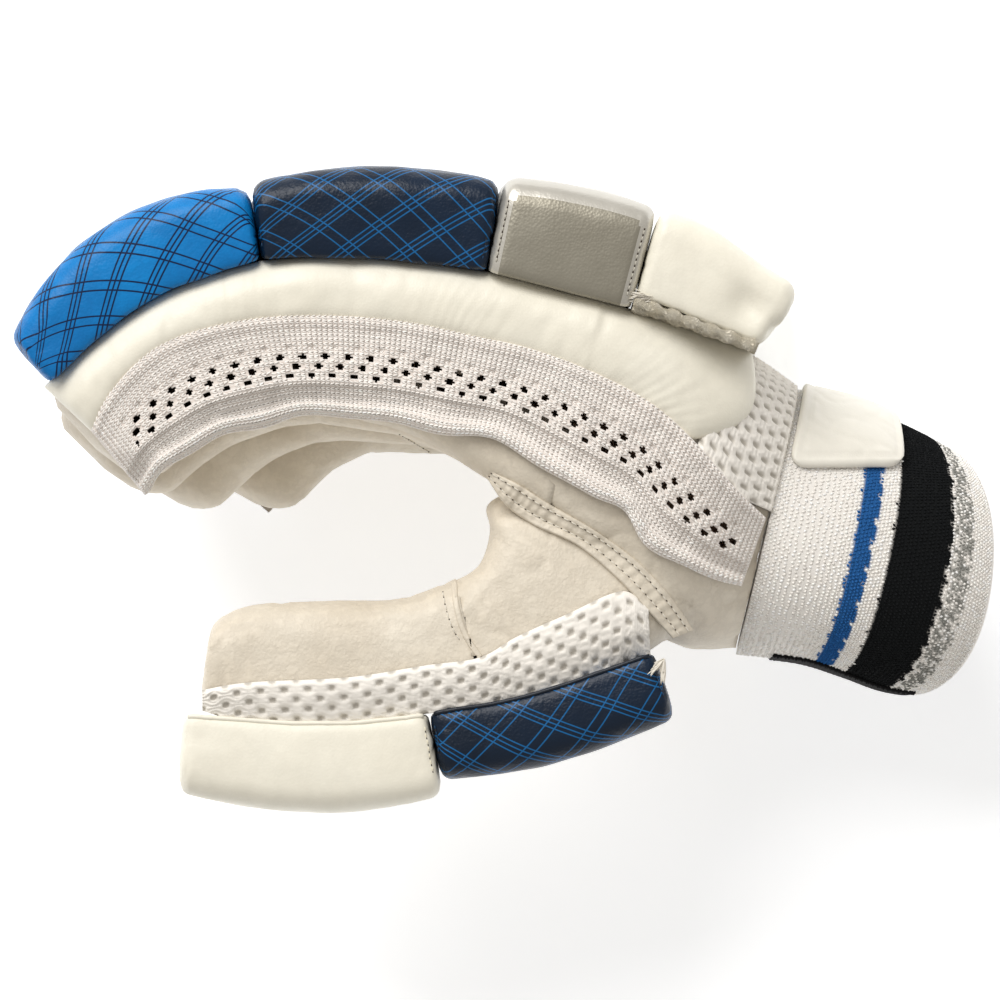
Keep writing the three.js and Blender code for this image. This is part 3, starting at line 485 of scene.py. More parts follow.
def makeLeatherGrain():
    # Fine pores and soft creases, with the same pattern as a mask for painted shade in the hollows of the creases
    group = Group("leatherGrain", [
        ("Pore Scale", "NodeSocketFloat", 1500.0),
        ("Crease Scale", "NodeSocketFloat", 160.0),
        ("Crease Amount", "NodeSocketFloat", 0.6),
    ], [("Height", "NodeSocketFloat"), ("Hollow", "NodeSocketFloat")])
    place = group.add("ShaderNodeTexCoord").outputs["Object"]
    pores = group.add("ShaderNodeTexVoronoi", feature="SMOOTH_F1", Smoothness=0.5)
    group.link(place, pores.inputs["Vector"])
    group.link(group.inputs.outputs["Pore Scale"], pores.inputs["Scale"])
    soft = noiseAt(group, place, group.inputs.outputs["Crease Scale"], 6.0, 0.65)
    ridge = mathNode(group, "ABSOLUTE", mathNode(group, "SUBTRACT", soft, 0.5))
    crease = mathNode(group, "SUBTRACT", 1.0, mathNode(group, "MULTIPLY", ridge, 9.0))
    crease = mathNode(group, "MAXIMUM", crease, 0.0)
    crease = mathNode(group, "MULTIPLY", crease, group.inputs.outputs["Crease Amount"])
    height = mathNode(group, "SUBTRACT", mathNode(group, "MULTIPLY", pores.outputs["Distance"], 0.5), crease)
    group.link(height, group.outputs.inputs["Height"])
    group.link(crease, group.outputs.inputs["Hollow"])
    return group.tree


def makeTone():
    # A colour that drifts a little over the surface and takes a painted shade where a mask says so
    group = Group("tone", [
        ("Colour", "NodeSocketColor", (0.8, 0.8, 0.8, 1)),
        ("Other", "NodeSocketColor", (0.7, 0.7, 0.7, 1)),
        ("Scale", "NodeSocketFloat", 40.0),
        ("Hollow", "NodeSocketFloat", 0.0),
        ("Hollow Colour", "NodeSocketColor", (0.4, 0.35, 0.3, 1)),
    ], [("Colour", "NodeSocketColor")])
    place = group.add("ShaderNodeTexCoord").outputs["Object"]
    drift = noiseAt(group, place, group.inputs.outputs["Scale"], 4.0)
    span = group.add("ShaderNodeMapRange", at1=0.35, at2=0.65)
    group.link(drift, span.inputs[0])
    base = mixColour(group, span.outputs[0], group.inputs.outputs["Colour"], group.inputs.outputs["Other"])
    result = mixColour(group, group.inputs.outputs["Hollow"], base, group.inputs.outputs["Hollow Colour"])
    group.link(result, group.outputs.inputs["Colour"])
    return group.tree


def makeLattice():
    # A regular diamond lattice of paired lines, drawn in millimetres over the unrolled surface
    group = Group("pairedLattice", [
        ("Pitch", "NodeSocketFloat", 13.0),
        ("Pair", "NodeSocketFloat", 1.7),
        ("Line", "NodeSocketFloat", 0.22),
        ("Lean", "NodeSocketFloat", 0.72),
    ], [("Mask", "NodeSocketFloat")])
    place = group.add("ShaderNodeUVMap", uv_map="UVMap")
    split = group.add("ShaderNodeSeparateXYZ")
    group.link(place.outputs[0], split.inputs[0])
    u, v = split.outputs[0], split.outputs[1]
    pitch, pair, line = (group.inputs.outputs[k] for k in ("Pitch", "Pair", "Line"))
    leaned = mathNode(group, "MULTIPLY", u, group.inputs.outputs["Lean"])
    found = None
    for side in (1.0, -1.0):
        across = mathNode(group, "ADD", mathNode(group, "MULTIPLY", leaned, side), v)
        step = mathNode(group, "MULTIPLY", mathNode(group, "FRACT", mathNode(group, "DIVIDE", across, pitch)), pitch)
        fromMiddle = mathNode(group, "SUBTRACT", step, mathNode(group, "MULTIPLY", pitch, 0.5))
        outer = mathNode(group, "ABSOLUTE", mathNode(group, "SUBTRACT", mathNode(group, "ABSOLUTE", fromMiddle), pair))
        inner = mathNode(group, "ABSOLUTE", fromMiddle)
        # The lines that lean one way carry a third line along their middle
        near = mathNode(group, "MINIMUM", outer, inner) if side > 0 else outer
        edge = group.add("ShaderNodeMapRange", at3=1.0, at4=0.0)
        group.link(near, edge.inputs[0])
        group.link(mathNode(group, "MULTIPLY", line, 0.7), edge.inputs[1])
        group.link(mathNode(group, "MULTIPLY", line, 1.3), edge.inputs[2])
        found = edge.outputs[0] if found is None else mathNode(group, "MAXIMUM", found, edge.outputs[0])
    group.link(found, group.outputs.inputs["Mask"])
    return group.tree


def makeYarn():
    # Twisted fibres for the yarn of knits: a fine height, and the tint of each stitch with a soft drift
    group = Group("yarn", [
        ("Fibre Scale", "NodeSocketFloat", 2600.0),
        ("Drift", "NodeSocketFloat", 0.12),
    ], [("Height", "NodeSocketFloat"), ("Colour", "NodeSocketColor")])
    place = group.add("ShaderNodeTexCoord").outputs["Object"]
    fibre = noiseAt(group, place, group.inputs.outputs["Fibre Scale"], 3.0, 0.7)
    group.link(fibre, group.outputs.inputs["Height"])
    tint = group.add("ShaderNodeAttribute", attribute_name="tint", attribute_type="GEOMETRY")
    drift = noiseAt(group, place, 420.0, 3.0, 0.6)
    dark = mathNode(group, "MULTIPLY", mathNode(group, "SUBTRACT", drift, 0.5), group.inputs.outputs["Drift"])
    share = mathNode(group, "MAXIMUM", dark, 0.0)
    result = mixColour(group, share, tint.outputs["Color"], (0.1, 0.08, 0.06, 1))
    group.link(result, group.outputs.inputs["Colour"])
    return group.tree


leatherGrain, tone, lattice, yarn = makeLeatherGrain(), makeTone(), makeLattice(), makeYarn()


def newMaterial(name):
    material = bpy.data.materials.new(name)
    material.use_nodes = True
    return material, material.node_tree, material.node_tree.nodes["Principled BSDF"]


def setSockets(node, **values):
    # Sockets by their labels, with an underscore for each space
    for label, value in values.items():
        node.inputs[label.replace("_", " ")].default_value = value


def useGroup(tree, group, **values):
    node = tree.nodes.new("ShaderNodeGroup")
    node.node_tree = group
    setSockets(node, **values)
    return node


def bumpFrom(tree, bsdf, height, distance, strength):
    bump = tree.nodes.new("ShaderNodeBump")
    setSockets(bump, Distance=distance, Strength=strength)
    tree.links.new(height, bump.inputs["Height"])
    tree.links.new(bump.outputs[0], bsdf.inputs["Normal"])


def leather(name, colour, other, look, line=None):
    # Leather; look holds its own sizes, and line the colour and sizes of a printed lattice
    material, tree, bsdf = newMaterial(name)
    grain = useGroup(tree, leatherGrain, Pore_Scale=look["pore"], Crease_Scale=look["crease"],
                     Crease_Amount=look["amount"])
    # The hollow colour is painted shade, laid into the creases of the grain
    paint = useGroup(tree, tone, Colour=(*colour, 1), Other=(*other, 1), Scale=look.get("drift", 40.0),
                     Hollow_Colour=(*look.get("hollow", [0.62 * c for c in other]), 1))
    soften = tree.nodes.new("ShaderNodeMath")
    soften.operation = "MULTIPLY"
    soften.inputs[1].default_value = look.get("shade", 0.35)
    tree.links.new(grain.outputs["Hollow"], soften.inputs[0])
    tree.links.new(soften.outputs[0], paint.inputs["Hollow"])
    final = paint.outputs["Colour"]
    if line:
        pattern = useGroup(tree, lattice, Pitch=line["pitch"], Pair=line["pair"], Line=line["width"],
                           Lean=line["lean"])
        mix = tree.nodes.new("ShaderNodeMix")
        mix.data_type = "RGBA"
        tree.links.new(pattern.outputs["Mask"], mix.inputs[0])
        tree.links.new(final, mix.inputs[6])
        mix.inputs[7].default_value = (*line["colour"], 1)
        final = mix.outputs[2]
    tree.links.new(final, bsdf.inputs["Base Color"])
    setSockets(bsdf, Roughness=look["rough"], Metallic=look.get("metal", 0.0),
               Specular_IOR_Level=look.get("specular", 0.4))
    bumpFrom(tree, bsdf, grain.outputs["Height"], look["depth"], look.get("strength", 0.5))
    return material


def knit(name, rough=0.9, fibre=2600.0, drift=0.12, depth=0.00012):
    material, tree, bsdf = newMaterial(name)
    thread = useGroup(tree, yarn, Fibre_Scale=fibre, Drift=drift)
    tree.links.new(thread.outputs["Colour"], bsdf.inputs["Base Color"])
    setSockets(bsdf, Roughness=rough, Specular_IOR_Level=0.06)
    bumpFrom(tree, bsdf, thread.outputs["Height"], depth, 0.6)
    return material


palmSkin = leather("palmLeather", (0.765, 0.705, 0.60), (0.70, 0.63, 0.52),
                   {"pore": 1150.0, "crease": 210.0, "amount": 0.5, "rough": 0.5, "depth": 0.0003, "strength": 0.5})
# The flesh side is the leather's own back, painted darker brown as shade inside the glove
fleshSideShaded = leather("leatherFleshSide", (0.34, 0.24, 0.18), (0.26, 0.18, 0.13),
                    {"pore": 1500.0, "crease": 300.0, "amount": 0.5, "rough": 0.95, "depth": 0.0003, "specular": 0.1})
creamSkin = leather("creamLeather", (0.86, 0.83, 0.725), (0.835, 0.80, 0.69),
                    {"pore": 1900.0, "crease": 120.0, "amount": 0.25, "rough": 0.42, "depth": 0.00012})
# The hollow colours given here are the painted shade of the creases
azureSkin = leather("azureLeather", (0.003, 0.22, 0.60), (0.002, 0.17, 0.49),
                    {"pore": 1500.0, "crease": 150.0, "amount": 0.4, "rough": 0.40, "depth": 0.0002, "specular": 0.25,
                     "hollow": (0.006, 0.06, 0.22)},
                    {"pitch": 11.5, "pair": 1.5, "width": 0.27, "lean": 0.85, "colour": (0.002, 0.012, 0.055)})
navySkin = leather("navyLeather", (0.002, 0.013, 0.036), (0.0015, 0.009, 0.024),
                   {"pore": 1400.0, "crease": 150.0, "amount": 0.4, "rough": 0.36, "depth": 0.00025, "specular": 0.3,
                    "hollow": (0.003, 0.008, 0.02)},
                   {"pitch": 11.5, "pair": 1.5, "width": 0.20, "lean": 0.80, "colour": (0.005, 0.115, 0.32)})
silverSkin = leather("silverLeather", (0.62, 0.60, 0.55), (0.56, 0.54, 0.49),
                     {"pore": 2000.0, "crease": 200.0, "amount": 0.1, "rough": 0.34, "depth": 0.0001, "metal": 0.6})
# The panel's pebbled silver is painted far darker than the frame: partly its own matt finish, partly painted shade
pebbleShadeSkin = leather("silverPebbleShadedLeather", (0.34, 0.32, 0.265), (0.285, 0.265, 0.215),
                     {"pore": 1500.0, "crease": 200.0, "amount": 0.04, "rough": 0.42, "depth": 0.00014, "metal": 0.6,
                      "strength": 0.8})
rawSkin = leather("rawLeather", (0.84, 0.79, 0.67), (0.74, 0.67, 0.52),
                  {"pore": 2600.0, "crease": 900.0, "amount": 0.8, "rough": 0.95, "depth": 0.0005, "drift": 260.0,
                   "shade": 0.35, "strength": 0.9, "specular": 0.1})
strapSkin = leather("strapLeather", (0.85, 0.825, 0.75), (0.81, 0.785, 0.71),
                    {"pore": 2100.0, "crease": 110.0, "amount": 0.2, "rough": 0.38, "depth": 0.00009})
sideYarn = knit("sideYarn", drift=0.06)
cuffYarn = knit("cuffYarn", fibre=2200.0, drift=0.06, depth=0.0002)
meshYarn = knit("meshYarn", rough=0.75, drift=0.04)
blackWeave = knit("blackWeave", rough=0.6, drift=0.0)
thread = knit("sewingThread", rough=0.6, drift=0.1)

print("finishes ready")


# Leather body

stallRows = [
    (-0.016, 0.86, 0.72), (-0.004, 0.90, 0.26), (0.03, 0.93, 0), (0.18, 0.95, 0), (0.34, 0.97, 0),
    (0.50, 1.00, 0), (0.66, 1.08, 0), (0.83, 1.25, 0), (1.0, 1.42, 0),
]
stallLook = {"corner": 8.0, "stations": 72, "cornerSteps": 7, "flatSteps": 4, "sink": 0.55, "tipRound": 9.0,
             "tipInset": 8.6}


def standing(point, normal, ring):
    # A section's points, stood up at its place along a seat
    return np.stack([point[0] + normal[0] * ring[:, 0], point[1] + normal[1] * ring[:, 0], ring[:, 1]], -1)


def boxRing(low, high, zLow, zHigh, corner, cornerSteps, flatSteps):
    # One rounded box section as rise and depth pairs, with points along its flats too
    limit = min(corner, (high - low) / 2.05, (zHigh - zLow) / 2.05)
    centres = [(high - limit, zHigh - limit, 0), (low + limit, zHigh - limit, 90),
               (low + limit, zLow + limit, 180), (high - limit, zLow + limit, 270)]
    corners = []
    for rise, depth, start in centres:
        angle = np.radians(start + np.linspace(0, 90, cornerSteps))
        corners.append(np.stack([rise + limit * np.cos(angle), depth + limit * np.sin(angle)], axis=-1))
    ring = []
    for k in range(4):
        ring.append(corners[k])
        a, b = corners[k][-1], corners[(k + 1) % 4][0]
        share = np.linspace(0, 1, flatSteps + 2)[1:-1, None]
        ring.append(a + (b - a) * share)
    return np.concatenate(ring)


def stallSurface(name):
    finger, seat = fingers[name], seats[name]
    look = stallLook
    tipShare = stallRows[0][0]
    shares = tipShare + (1.0 - tipShare) * np.linspace(0, 1, look["stations"]) ** 1.12
    table = np.array(stallRows)
    zLow, zHigh = bandFloor(finger), bandFloor(finger) + glove["fingerWidth"]
    rings = []
    for share in shares:
        depth = np.interp(share, table[:, 0], table[:, 1])
        even = finger["depth"] + (1 - finger["depth"]) * max(share, 0) ** 2
        fromTip = (share - tipShare) * seat.toKnuckle
        radius = look["tipRound"]
        inset = min(radius - math.sqrt(max(radius**2 - max(radius - fromTip, 0) ** 2, 0)), look["tipInset"])
        low = -depth * even * glove["fingerDepth"] + inset * 1.5
        high = -look["sink"] - inset * 0.55
        ring = boxRing(low, high, zLow + inset, zHigh - inset, look["corner"], look["cornerSteps"],
                       look["flatSteps"])
        point, normal, _ = seat.at(share * seat.toKnuckle - 0.3)
        rings.append(standing(point, normal, ring))
    return np.array(rings)


def ringNormals(grid):
    # Outward directions of a grid that closes on itself sideways
    along = np.gradient(grid, axis=0)
    around = np.roll(grid, -1, axis=1) - np.roll(grid, 1, axis=1)
    normal = np.cross(along, around)
    normal /= np.maximum(np.linalg.norm(normal, axis=-1, keepdims=True), 1e-9)
    middle = grid.mean(axis=1, keepdims=True)
    if np.sum(normal * (grid - middle)) < 0:
        normal = -normal
    return normal


def sheetNormals(grid):
    normal = np.cross(np.gradient(grid, axis=0), np.gradient(grid, axis=1))
    return normal / np.maximum(np.linalg.norm(normal, axis=-1, keepdims=True), 1e-9)


def inside(points, outline):
    # Which side-view points lie in an outline
    x, y = points[..., 0], points[..., 1]
    found = np.zeros(x.shape, bool)
    ringed = np.roll(outline, -1, axis=0)
    for (x0, y0), (x1, y1) in zip(outline, ringed):
        if y0 == y1:
            continue
        crosses = ((y0 > y) != (y1 > y)) & (x < (x1 - x0) * (y - y0) / (y1 - y0) + x0)
        found ^= crosses
    return found


def sideGrid(finger, along, across, fromEdge, toEdge, before=0.0, after=0.0):
    # Points of the side view between two of the lines seat, seam and hem, and a little past them
    first = {"seat": 0, "seam": 2, "hem": 4}
    row = blendRows(sideRows, along)
    start = bend(plane(row[:, first[fromEdge]], row[:, first[fromEdge] + 1]), finger)
    end = bend(plane(row[:, first[toEdge]], row[:, first[toEdge] + 1]), finger)
    span = end - start
    length = np.linalg.norm(span, axis=-1, keepdims=True)
    ahead = np.stack([-span[:, 1], span[:, 0]], -1) / length
    share = -before / length + (1 + (before + after) / length) * np.asarray(across)[None]
    bulge = row[:, 6:7] * glove["fingerWidth"] * np.sin(share * np.pi) if fromEdge == "seat" else share * 0
    return start[:, None] + span[:, None] * share[..., None] + ahead[:, None] * bulge[..., None]


def bandOutline(finger, fromShare, toShare, first, last):
    # The outline of part of the band between seam and hem
    along = np.linspace(first, last, 80)
    flat = sideGrid(finger, along, [fromShare, toShare], "seam", "hem")
    return np.concatenate([flat[:, 0], flat[::-1, 1]])


# Under the open rows of a gusset the leather is cut away, so that they look into the hollow finger
windows = {side: bandOutline(fingers[side], 0.30, 0.62, 0.02, 0.965) for side in ("index", "little")}


windowDepth = 16  # how far in from an outer side the leather is cut


def cutWindows(piece, near=True, far=True):
    with meshWork(piece) as work:
        centres = np.array([face.calc_center_median()[:] for face in work.faces]) / mm
        gone = np.zeros(len(centres), bool)
        if near:
            gone |= inside(centres, windows["index"]) & (centres[:, 2] > handRoof - windowDepth)
        if far:
            gone |= inside(centres, windows["little"]) & (centres[:, 2] < handFloor + windowDepth)
        work.faces.ensure_lookup_table()
        bmesh.ops.delete(work, geom=[work.faces[k] for k in np.nonzero(gone)[0]], context="FACES")


def tube(name, outer, tip=False):
    # The outer face of a leather tube, open at its last ring and, unless it has a tip, at its first
    rows, sides = outer.shape[:2]
    points = outer.reshape(-1, 3)
    faces = gridFaces(rows, sides, closed=True).tolist()
    if tip:
        k = np.arange(sides)
        points = np.concatenate([points, outer[0].mean(axis=0)[None]])
        faces += np.stack([np.full(sides, rows * sides), (k + 1) % sides, k], -1).tolist()
    made = addMesh(name, points, faces, palmSkin)
    return fixNormals(made)


def lined(piece, thickness):
    # Leather thickness inwards, with its flesh side inside, in a brown darker than bare leather: painted shade inside
    # the glove
    piece.data.materials.append(fleshSideShaded)
    applyModifier(piece, "SOLIDIFY", thickness=thickness * mm, offset=-1.0, material_offset=1)


def fixNormals(piece):
    with meshWork(piece) as work:
        bmesh.ops.recalc_face_normals(work, faces=work.faces)
    return piece


def creased(grid, scale, depth, seed, stretch=(1, 1, 1)):
    # Leather creases: narrow valleys where a smooth random value changes sign
    value = shapeNoise(np.asarray(grid) * np.array(stretch), scale, seed)
    return -depth * np.exp(-(value / 0.16) ** 2)


def makeActive(piece):
    bpy.ops.object.select_all(action="DESELECT")
    piece.select_set(True)
    bpy.context.view_layer.objects.active = piece


def applyModifier(piece, kind, **values):
    makeActive(piece)
    change = piece.modifiers.new(kind.lower(), kind)
    for key, value in values.items():
        setattr(change, key, value)
    bpy.ops.object.modifier_apply(modifier=change.name)


stallPieces = {}
stallGrids = {}
for number, name in enumerate(fingers):
    grid = stallSurface(name)
    normal = ringNormals(grid)
    bumps = creased(grid, 9.0, 0.45, 3.1 + number) + 0.35 * shapeNoise(grid, 16.0, 7.7 + number)
    grid = grid + normal * bumps[..., None]
    grid[..., 2] = np.maximum(grid[..., 2], 0.4)
    stallGrids[name] = grid
    piece = tube(f"{name} finger leather", grid, tip=True)
    cutWindows(piece, near=name == "index", far=name == "little")
    lined(piece, glove["leather"])
    stallPieces[name] = settle(piece, [f"{name}_stall"], "palm_leather")

bodyLook = {"voxel": 1.4, "smooth": 5, "past": 4.0, "crease": 0.5}


def solidLoft(name, rings):
    rows, sides = rings.shape[:2]
    points = np.concatenate([rings.reshape(-1, 3), rings[0].mean(axis=0)[None], rings[-1].mean(axis=0)[None]])
    faces = gridFaces(rows, sides, closed=True).tolist()
    hub = rows * sides
    last = (rows - 1) * sides
    faces += [[hub, (k + 1) % sides, k] for k in range(sides)]
    faces += [[hub + 1, last + k, last + (k + 1) % sides] for k in range(sides)]
    return fixNormals(addMesh(name, points, faces, None))


def extendRings(rings, before, after):
    # Rings with a copy slid out past each end
    ahead = rings[0] - rings[1]
    ahead = ahead.mean(axis=0) / np.linalg.norm(ahead.mean(axis=0))
    behind = rings[-1] - rings[-2]
    behind = behind.mean(axis=0) / np.linalg.norm(behind.mean(axis=0))
    return np.concatenate([[rings[0] + ahead * before], rings, [rings[-1] + behind * after]])


def pointsOf(piece):
    found = np.empty(len(piece.data.vertices) * 3)
    piece.data.vertices.foreach_get("co", found)
    return found.reshape(-1, 3) / mm


def normalsOf(piece):
    found = np.empty(len(piece.data.vertices) * 3)
    piece.data.vertices.foreach_get("normal", found)
    return found.reshape(-1, 3)


def setPoints(piece, points):
    piece.data.vertices.foreach_set("co", np.ascontiguousarray(points * mm).ravel())
    piece.data.update()


def joined(pieces):
    makeActive(pieces[0])
    for piece in pieces:
        piece.select_set(True)
    bpy.ops.object.join()
    return pieces[0]


def aheadRings(shares, sides, inset):
    # Sections of the hand inside the roots of the fingers, so that their leather runs on without a step
    point, normal, _ = seats["index"].at(np.array(shares) * seats["index"].toKnuckle)
    table = np.array(stallRows)
    depth = np.interp(shares, table[:, 0], table[:, 1])[:, None] * glove["fingerDepth"]
    inset = np.array(inset)[:, None]
    top, low = point - normal * (stallLook["sink"] + inset), point - normal * (depth - inset)
    half = handWidth / 2 - inset[:, 0]
    middle, power = np.full(len(shares), handFloor + handWidth / 2), np.full(len(shares), 9.0)
    return sectionRing(top, low, middle, half, power, sides)


ahead = aheadRings([0.90, 0.94, 0.975], 72, [0.9, 0.6, 0.3])
handGrid = np.concatenate([ahead, handRings(np.linspace(0, 1, 30), 72)])
handGrid = extendRings(handGrid, 0.0, bodyLook["past"])[1:]
handPart = solidLoft("palm leather", handGrid)
rootPart = solidLoft("thumb root", extendRings(thumbRings(np.linspace(thumbSeam, 1, 24), 56), bodyLook["past"], 0.0))
palm = joined([handPart, rootPart])
palm.data.remesh_voxel_size = bodyLook["voxel"] * mm
makeActive(palm)
bpy.ops.object.voxel_remesh()
applyModifier(palm, "SMOOTH", factor=0.5, iterations=bodyLook["smooth"])


def cutBeyond(piece, point, direction):
    # Everything on the far side of a plane comes off
    with meshWork(piece) as work:
        bmesh.ops.bisect_plane(work, geom=work.verts[:] + work.edges[:] + work.faces[:],
                               plane_co=Vector(point) * mm, plane_no=Vector(direction), clear_outer=True)


cutBeyond(palm, (*wristBack, 0), (*wristForward, 0))
seamRing = thumbRings(np.array([thumbSeam, thumbSeam + 0.01]), 40)
seamPoint = seamRing[0].mean(axis=0)
seamAhead = seamRing[1].mean(axis=0) - seamPoint
seamAhead[2] = 0
seamAhead /= np.linalg.norm(seamAhead)
capAhead = np.array([*knuckleAhead, 0])
with meshWork(palm) as work:
    gone = []
    for face in work.faces:
        place = np.array(face.calc_center_median()) / mm
        turned = np.array(face.normal)
        # The closed ends at the knuckles and at the thumb's seam open again
        atKnuckles = (place - ahead[0].mean(axis=0)) @ capAhead < 1.5 and turned @ capAhead < -0.6
        atThumb = (place - seamPoint) @ seamAhead < 0.6 and abs(place[1] - seamPoint[1]) < 30 and place[2] > 50
        if (atKnuckles and place[1] > 6.0) or atThumb:
            gone.append(face)
    bmesh.ops.delete(work, geom=gone, context="FACES")
points, normals = pointsOf(palm), normalsOf(palm)
bumps = creased(points, 11.0, bodyLook["crease"], 5.2, (1, 1, 0.5)) + 0.3 * shapeNoise(points, 20.0, 1.9)
setPoints(palm, points + normals * bumps[:, None])
palm.data.materials.append(palmSkin)
palm.data.polygons.foreach_set("use_smooth", [True] * len(palm.data.polygons))
bodySurface = (pointsOf(palm), [tuple(p.vertices) for p in palm.data.polygons])
cutWindows(palm, far=False)
lined(palm, glove["leather"])
settle(palm, ["palm_shell"], "palm_leather")

thumbGrid = thumbRings(np.linspace(0, 1, 90)[:int(90 * thumbSeam) + 1], 64)
tipRound = 6.0


def roundTip(grid, reach):
    # The first rings draw in to a rounded end
    for k, distance in enumerate(walkedAlong(grid.mean(axis=1))):
        if distance > reach:
            break
        inset = reach - math.sqrt(max(reach**2 - (reach - distance) ** 2, 0))
        middle = grid[k].mean(axis=0)
        away = grid[k] - middle
        size = np.linalg.norm(away, axis=-1, keepdims=True)
        grid[k] = middle + away * np.maximum(1 - inset / size, 0.25)
    return grid


thumbGrid = roundTip(thumbGrid, tipRound)
thumbNormal = ringNormals(thumbGrid)
bumps = creased(thumbGrid, 10.0, 0.45, 9.4, (1, 1.6, 0.5)) + 0.35 * shapeNoise(thumbGrid, 17.0, 2.2)
thumbGrid = thumbGrid + thumbNormal * bumps[..., None]
thumbPiece = tube("thumb leather", thumbGrid, tip=True)
lined(thumbPiece, glove["leather"])
settle(thumbPiece, ["thumb_stall"], "palm_leather")


def surfaceTree(*parts):
    points, faces = [], []
    for somePoints, someFaces in parts:
        first = sum(len(p) for p in points)
        points.append(np.asarray(somePoints).reshape(-1, 3))
        faces += [tuple(int(k) + first for k in face) for face in someFaces]
    return BVHTree.FromPolygons(np.concatenate(points).tolist(), faces)


def gridPart(grid):
    return grid.reshape(-1, 3), gridFaces(grid.shape[0], grid.shape[1], closed=True).tolist()


body = surfaceTree(bodySurface, gridPart(thumbGrid), *[gridPart(grid) for grid in stallGrids.values()])
print("leather body done")


def castOn(x, y, near):
    # Where a side-view point meets the leather, seen from the near or the far side
    return body.ray_cast(Vector((x, y, 150 if near else -100)), Vector((0, 0, -1 if near else 1)))


layPasses = 6  # how often the laid sheet is evened out


def layOn(lines, near, gap, steepest=0.5):
    # Depth of a sheet of side-view points, laid against the glove from its near or far side
    outward = 1.0 if near else -1.0
    rows, columns = lines.shape[:2]
    roof = handRoof if near else handFloor
    heights = np.full((rows, columns), roof * outward - handWidth)
    for i in range(rows):
        for j in range(columns):
            x, y = lines[i, j]
            hit = castOn(x, y, near)
            if hit[0] is not None:
                heights[i, j] = hit[0].z * outward
    stepAcross = np.linalg.norm(np.diff(lines, axis=1), axis=-1) * steepest
    stepAlong = np.linalg.norm(np.diff(lines, axis=0), axis=-1) * steepest
    for j in range(1, columns):
        heights[:, j] = np.maximum(heights[:, j], heights[:, j - 1] - stepAcross[:, j - 1])
    for j in range(columns - 2, -1, -1):
        heights[:, j] = np.maximum(heights[:, j], heights[:, j + 1] - stepAcross[:, j])
    for i in range(1, rows):
        heights[i] = np.maximum(heights[i], heights[i - 1] - stepAlong[i - 1])
    for i in range(rows - 2, -1, -1):
        heights[i] = np.maximum(heights[i], heights[i + 1] - stepAlong[i])
    for _ in range(layPasses):
        ringed = np.pad(heights, 1, mode="edge")
        near4 = ringed[:-2, 1:-1] + ringed[2:, 1:-1] + ringed[1:-1, :-2] + ringed[1:-1, 2:]
        heights = np.maximum(heights * 0.5 + near4 * 0.125, heights - 0.2)
    z = (heights + gap) * outward
    return np.concatenate([lines, z[..., None]], axis=-1)


# Side strips of soft padded leather, one on each outer side

stripLook = {
    "along": {"index": 340, "little": 190}, "across": {"index": 30, "little": 24}, "thick": 4.6, "length": 190,
    # Place along the strip, spread, pitch and depth of each group of wrinkles
    "wrinkles": ((60, 8, 2.6, 0.08), (108, 10, 2.3, 0.09), (150, 20, 2.0, 0.09), (172, 12, 3.4, 0.13)),
}


def makeStrip(side):
    near = side == "index"
    outward = 1.0 if near else -1.0
    along = np.linspace(0, stripEnd, stripLook["along"][side])
    across = 0.5 - 0.5 * np.cos(np.linspace(0, np.pi, stripLook["across"][side]))
    flat = sideGrid(fingers[side], along, across, "seat", "seam", 1.2, 1.6)
    inner = layOn(flat, near, 0.35)
    a = np.abs(2 * across - 1)
    # Full in the middle, falling off to thin edges, and more steeply at the ends
    profile = np.sqrt(np.maximum(1 - a**4.5, 0)) * (0.96 - 0.22 * across) + 0.08
    place = along / stripEnd
    ends = np.minimum(1, np.sqrt(np.maximum(1 - np.clip(1 - place / 0.03, 0, 1) ** 2, 0)) * 0.8 + 0.2)
    ends *= np.minimum(1, np.sqrt(np.maximum(1 - np.clip(1 - (1 - place) / 0.035, 0, 1) ** 2, 0)) * 0.75 + 0.25)
    thick = stripLook["thick"] * profile[None] * ends[:, None]
    # Fine wrinkles across the strip where the glove bends, and soft diagonal ones near the palm end
    walked = place[:, None] * stripLook["length"]
    wrinkle = np.zeros_like(thick)
    for centre, spread, pitch, depth in stripLook["wrinkles"]:
        wave = np.sin(2 * np.pi * (walked + 6 * (across[None] - 0.5) * (1 if centre < 140 else 2.6)) / pitch
                      + 2.0 * shapeNoise(inner, 14.0, centre))
        wrinkle += depth * np.exp(-((walked - centre) / spread) ** 2) * wave * (0.35 + 0.65 * across[None])
    thick = thick + (wrinkle + 0.30 * shapeNoise(inner, 15.0, 4.0) * ends[:, None]) * profile[None]
    outer = inner.copy()
    outer[..., 2] += np.maximum(thick, 0.35) * outward
    outer[..., 2] = np.maximum(outer[..., 2], 0.0)
    points, faces = closedSheet(inner, outer)
    piece = addMesh(f"{side} padded strip", points, faces, creamSkin)
    fixNormals(piece)
    settle(piece, [f"{side}_side_strip"], "cream_leather")


for side in ("index", "little"):
    makeStrip(side)
print("side strips done")


# Padded rolls along the back of the fingers and the thumb

rollLook = {
    "corner": 5.4, "stations": 52, "cornerSteps": 7, "flatSteps": 9, "endRound": 2.8, "seam": 0.7, "pillow": 0.8,
    "tuck": 2.9,
}


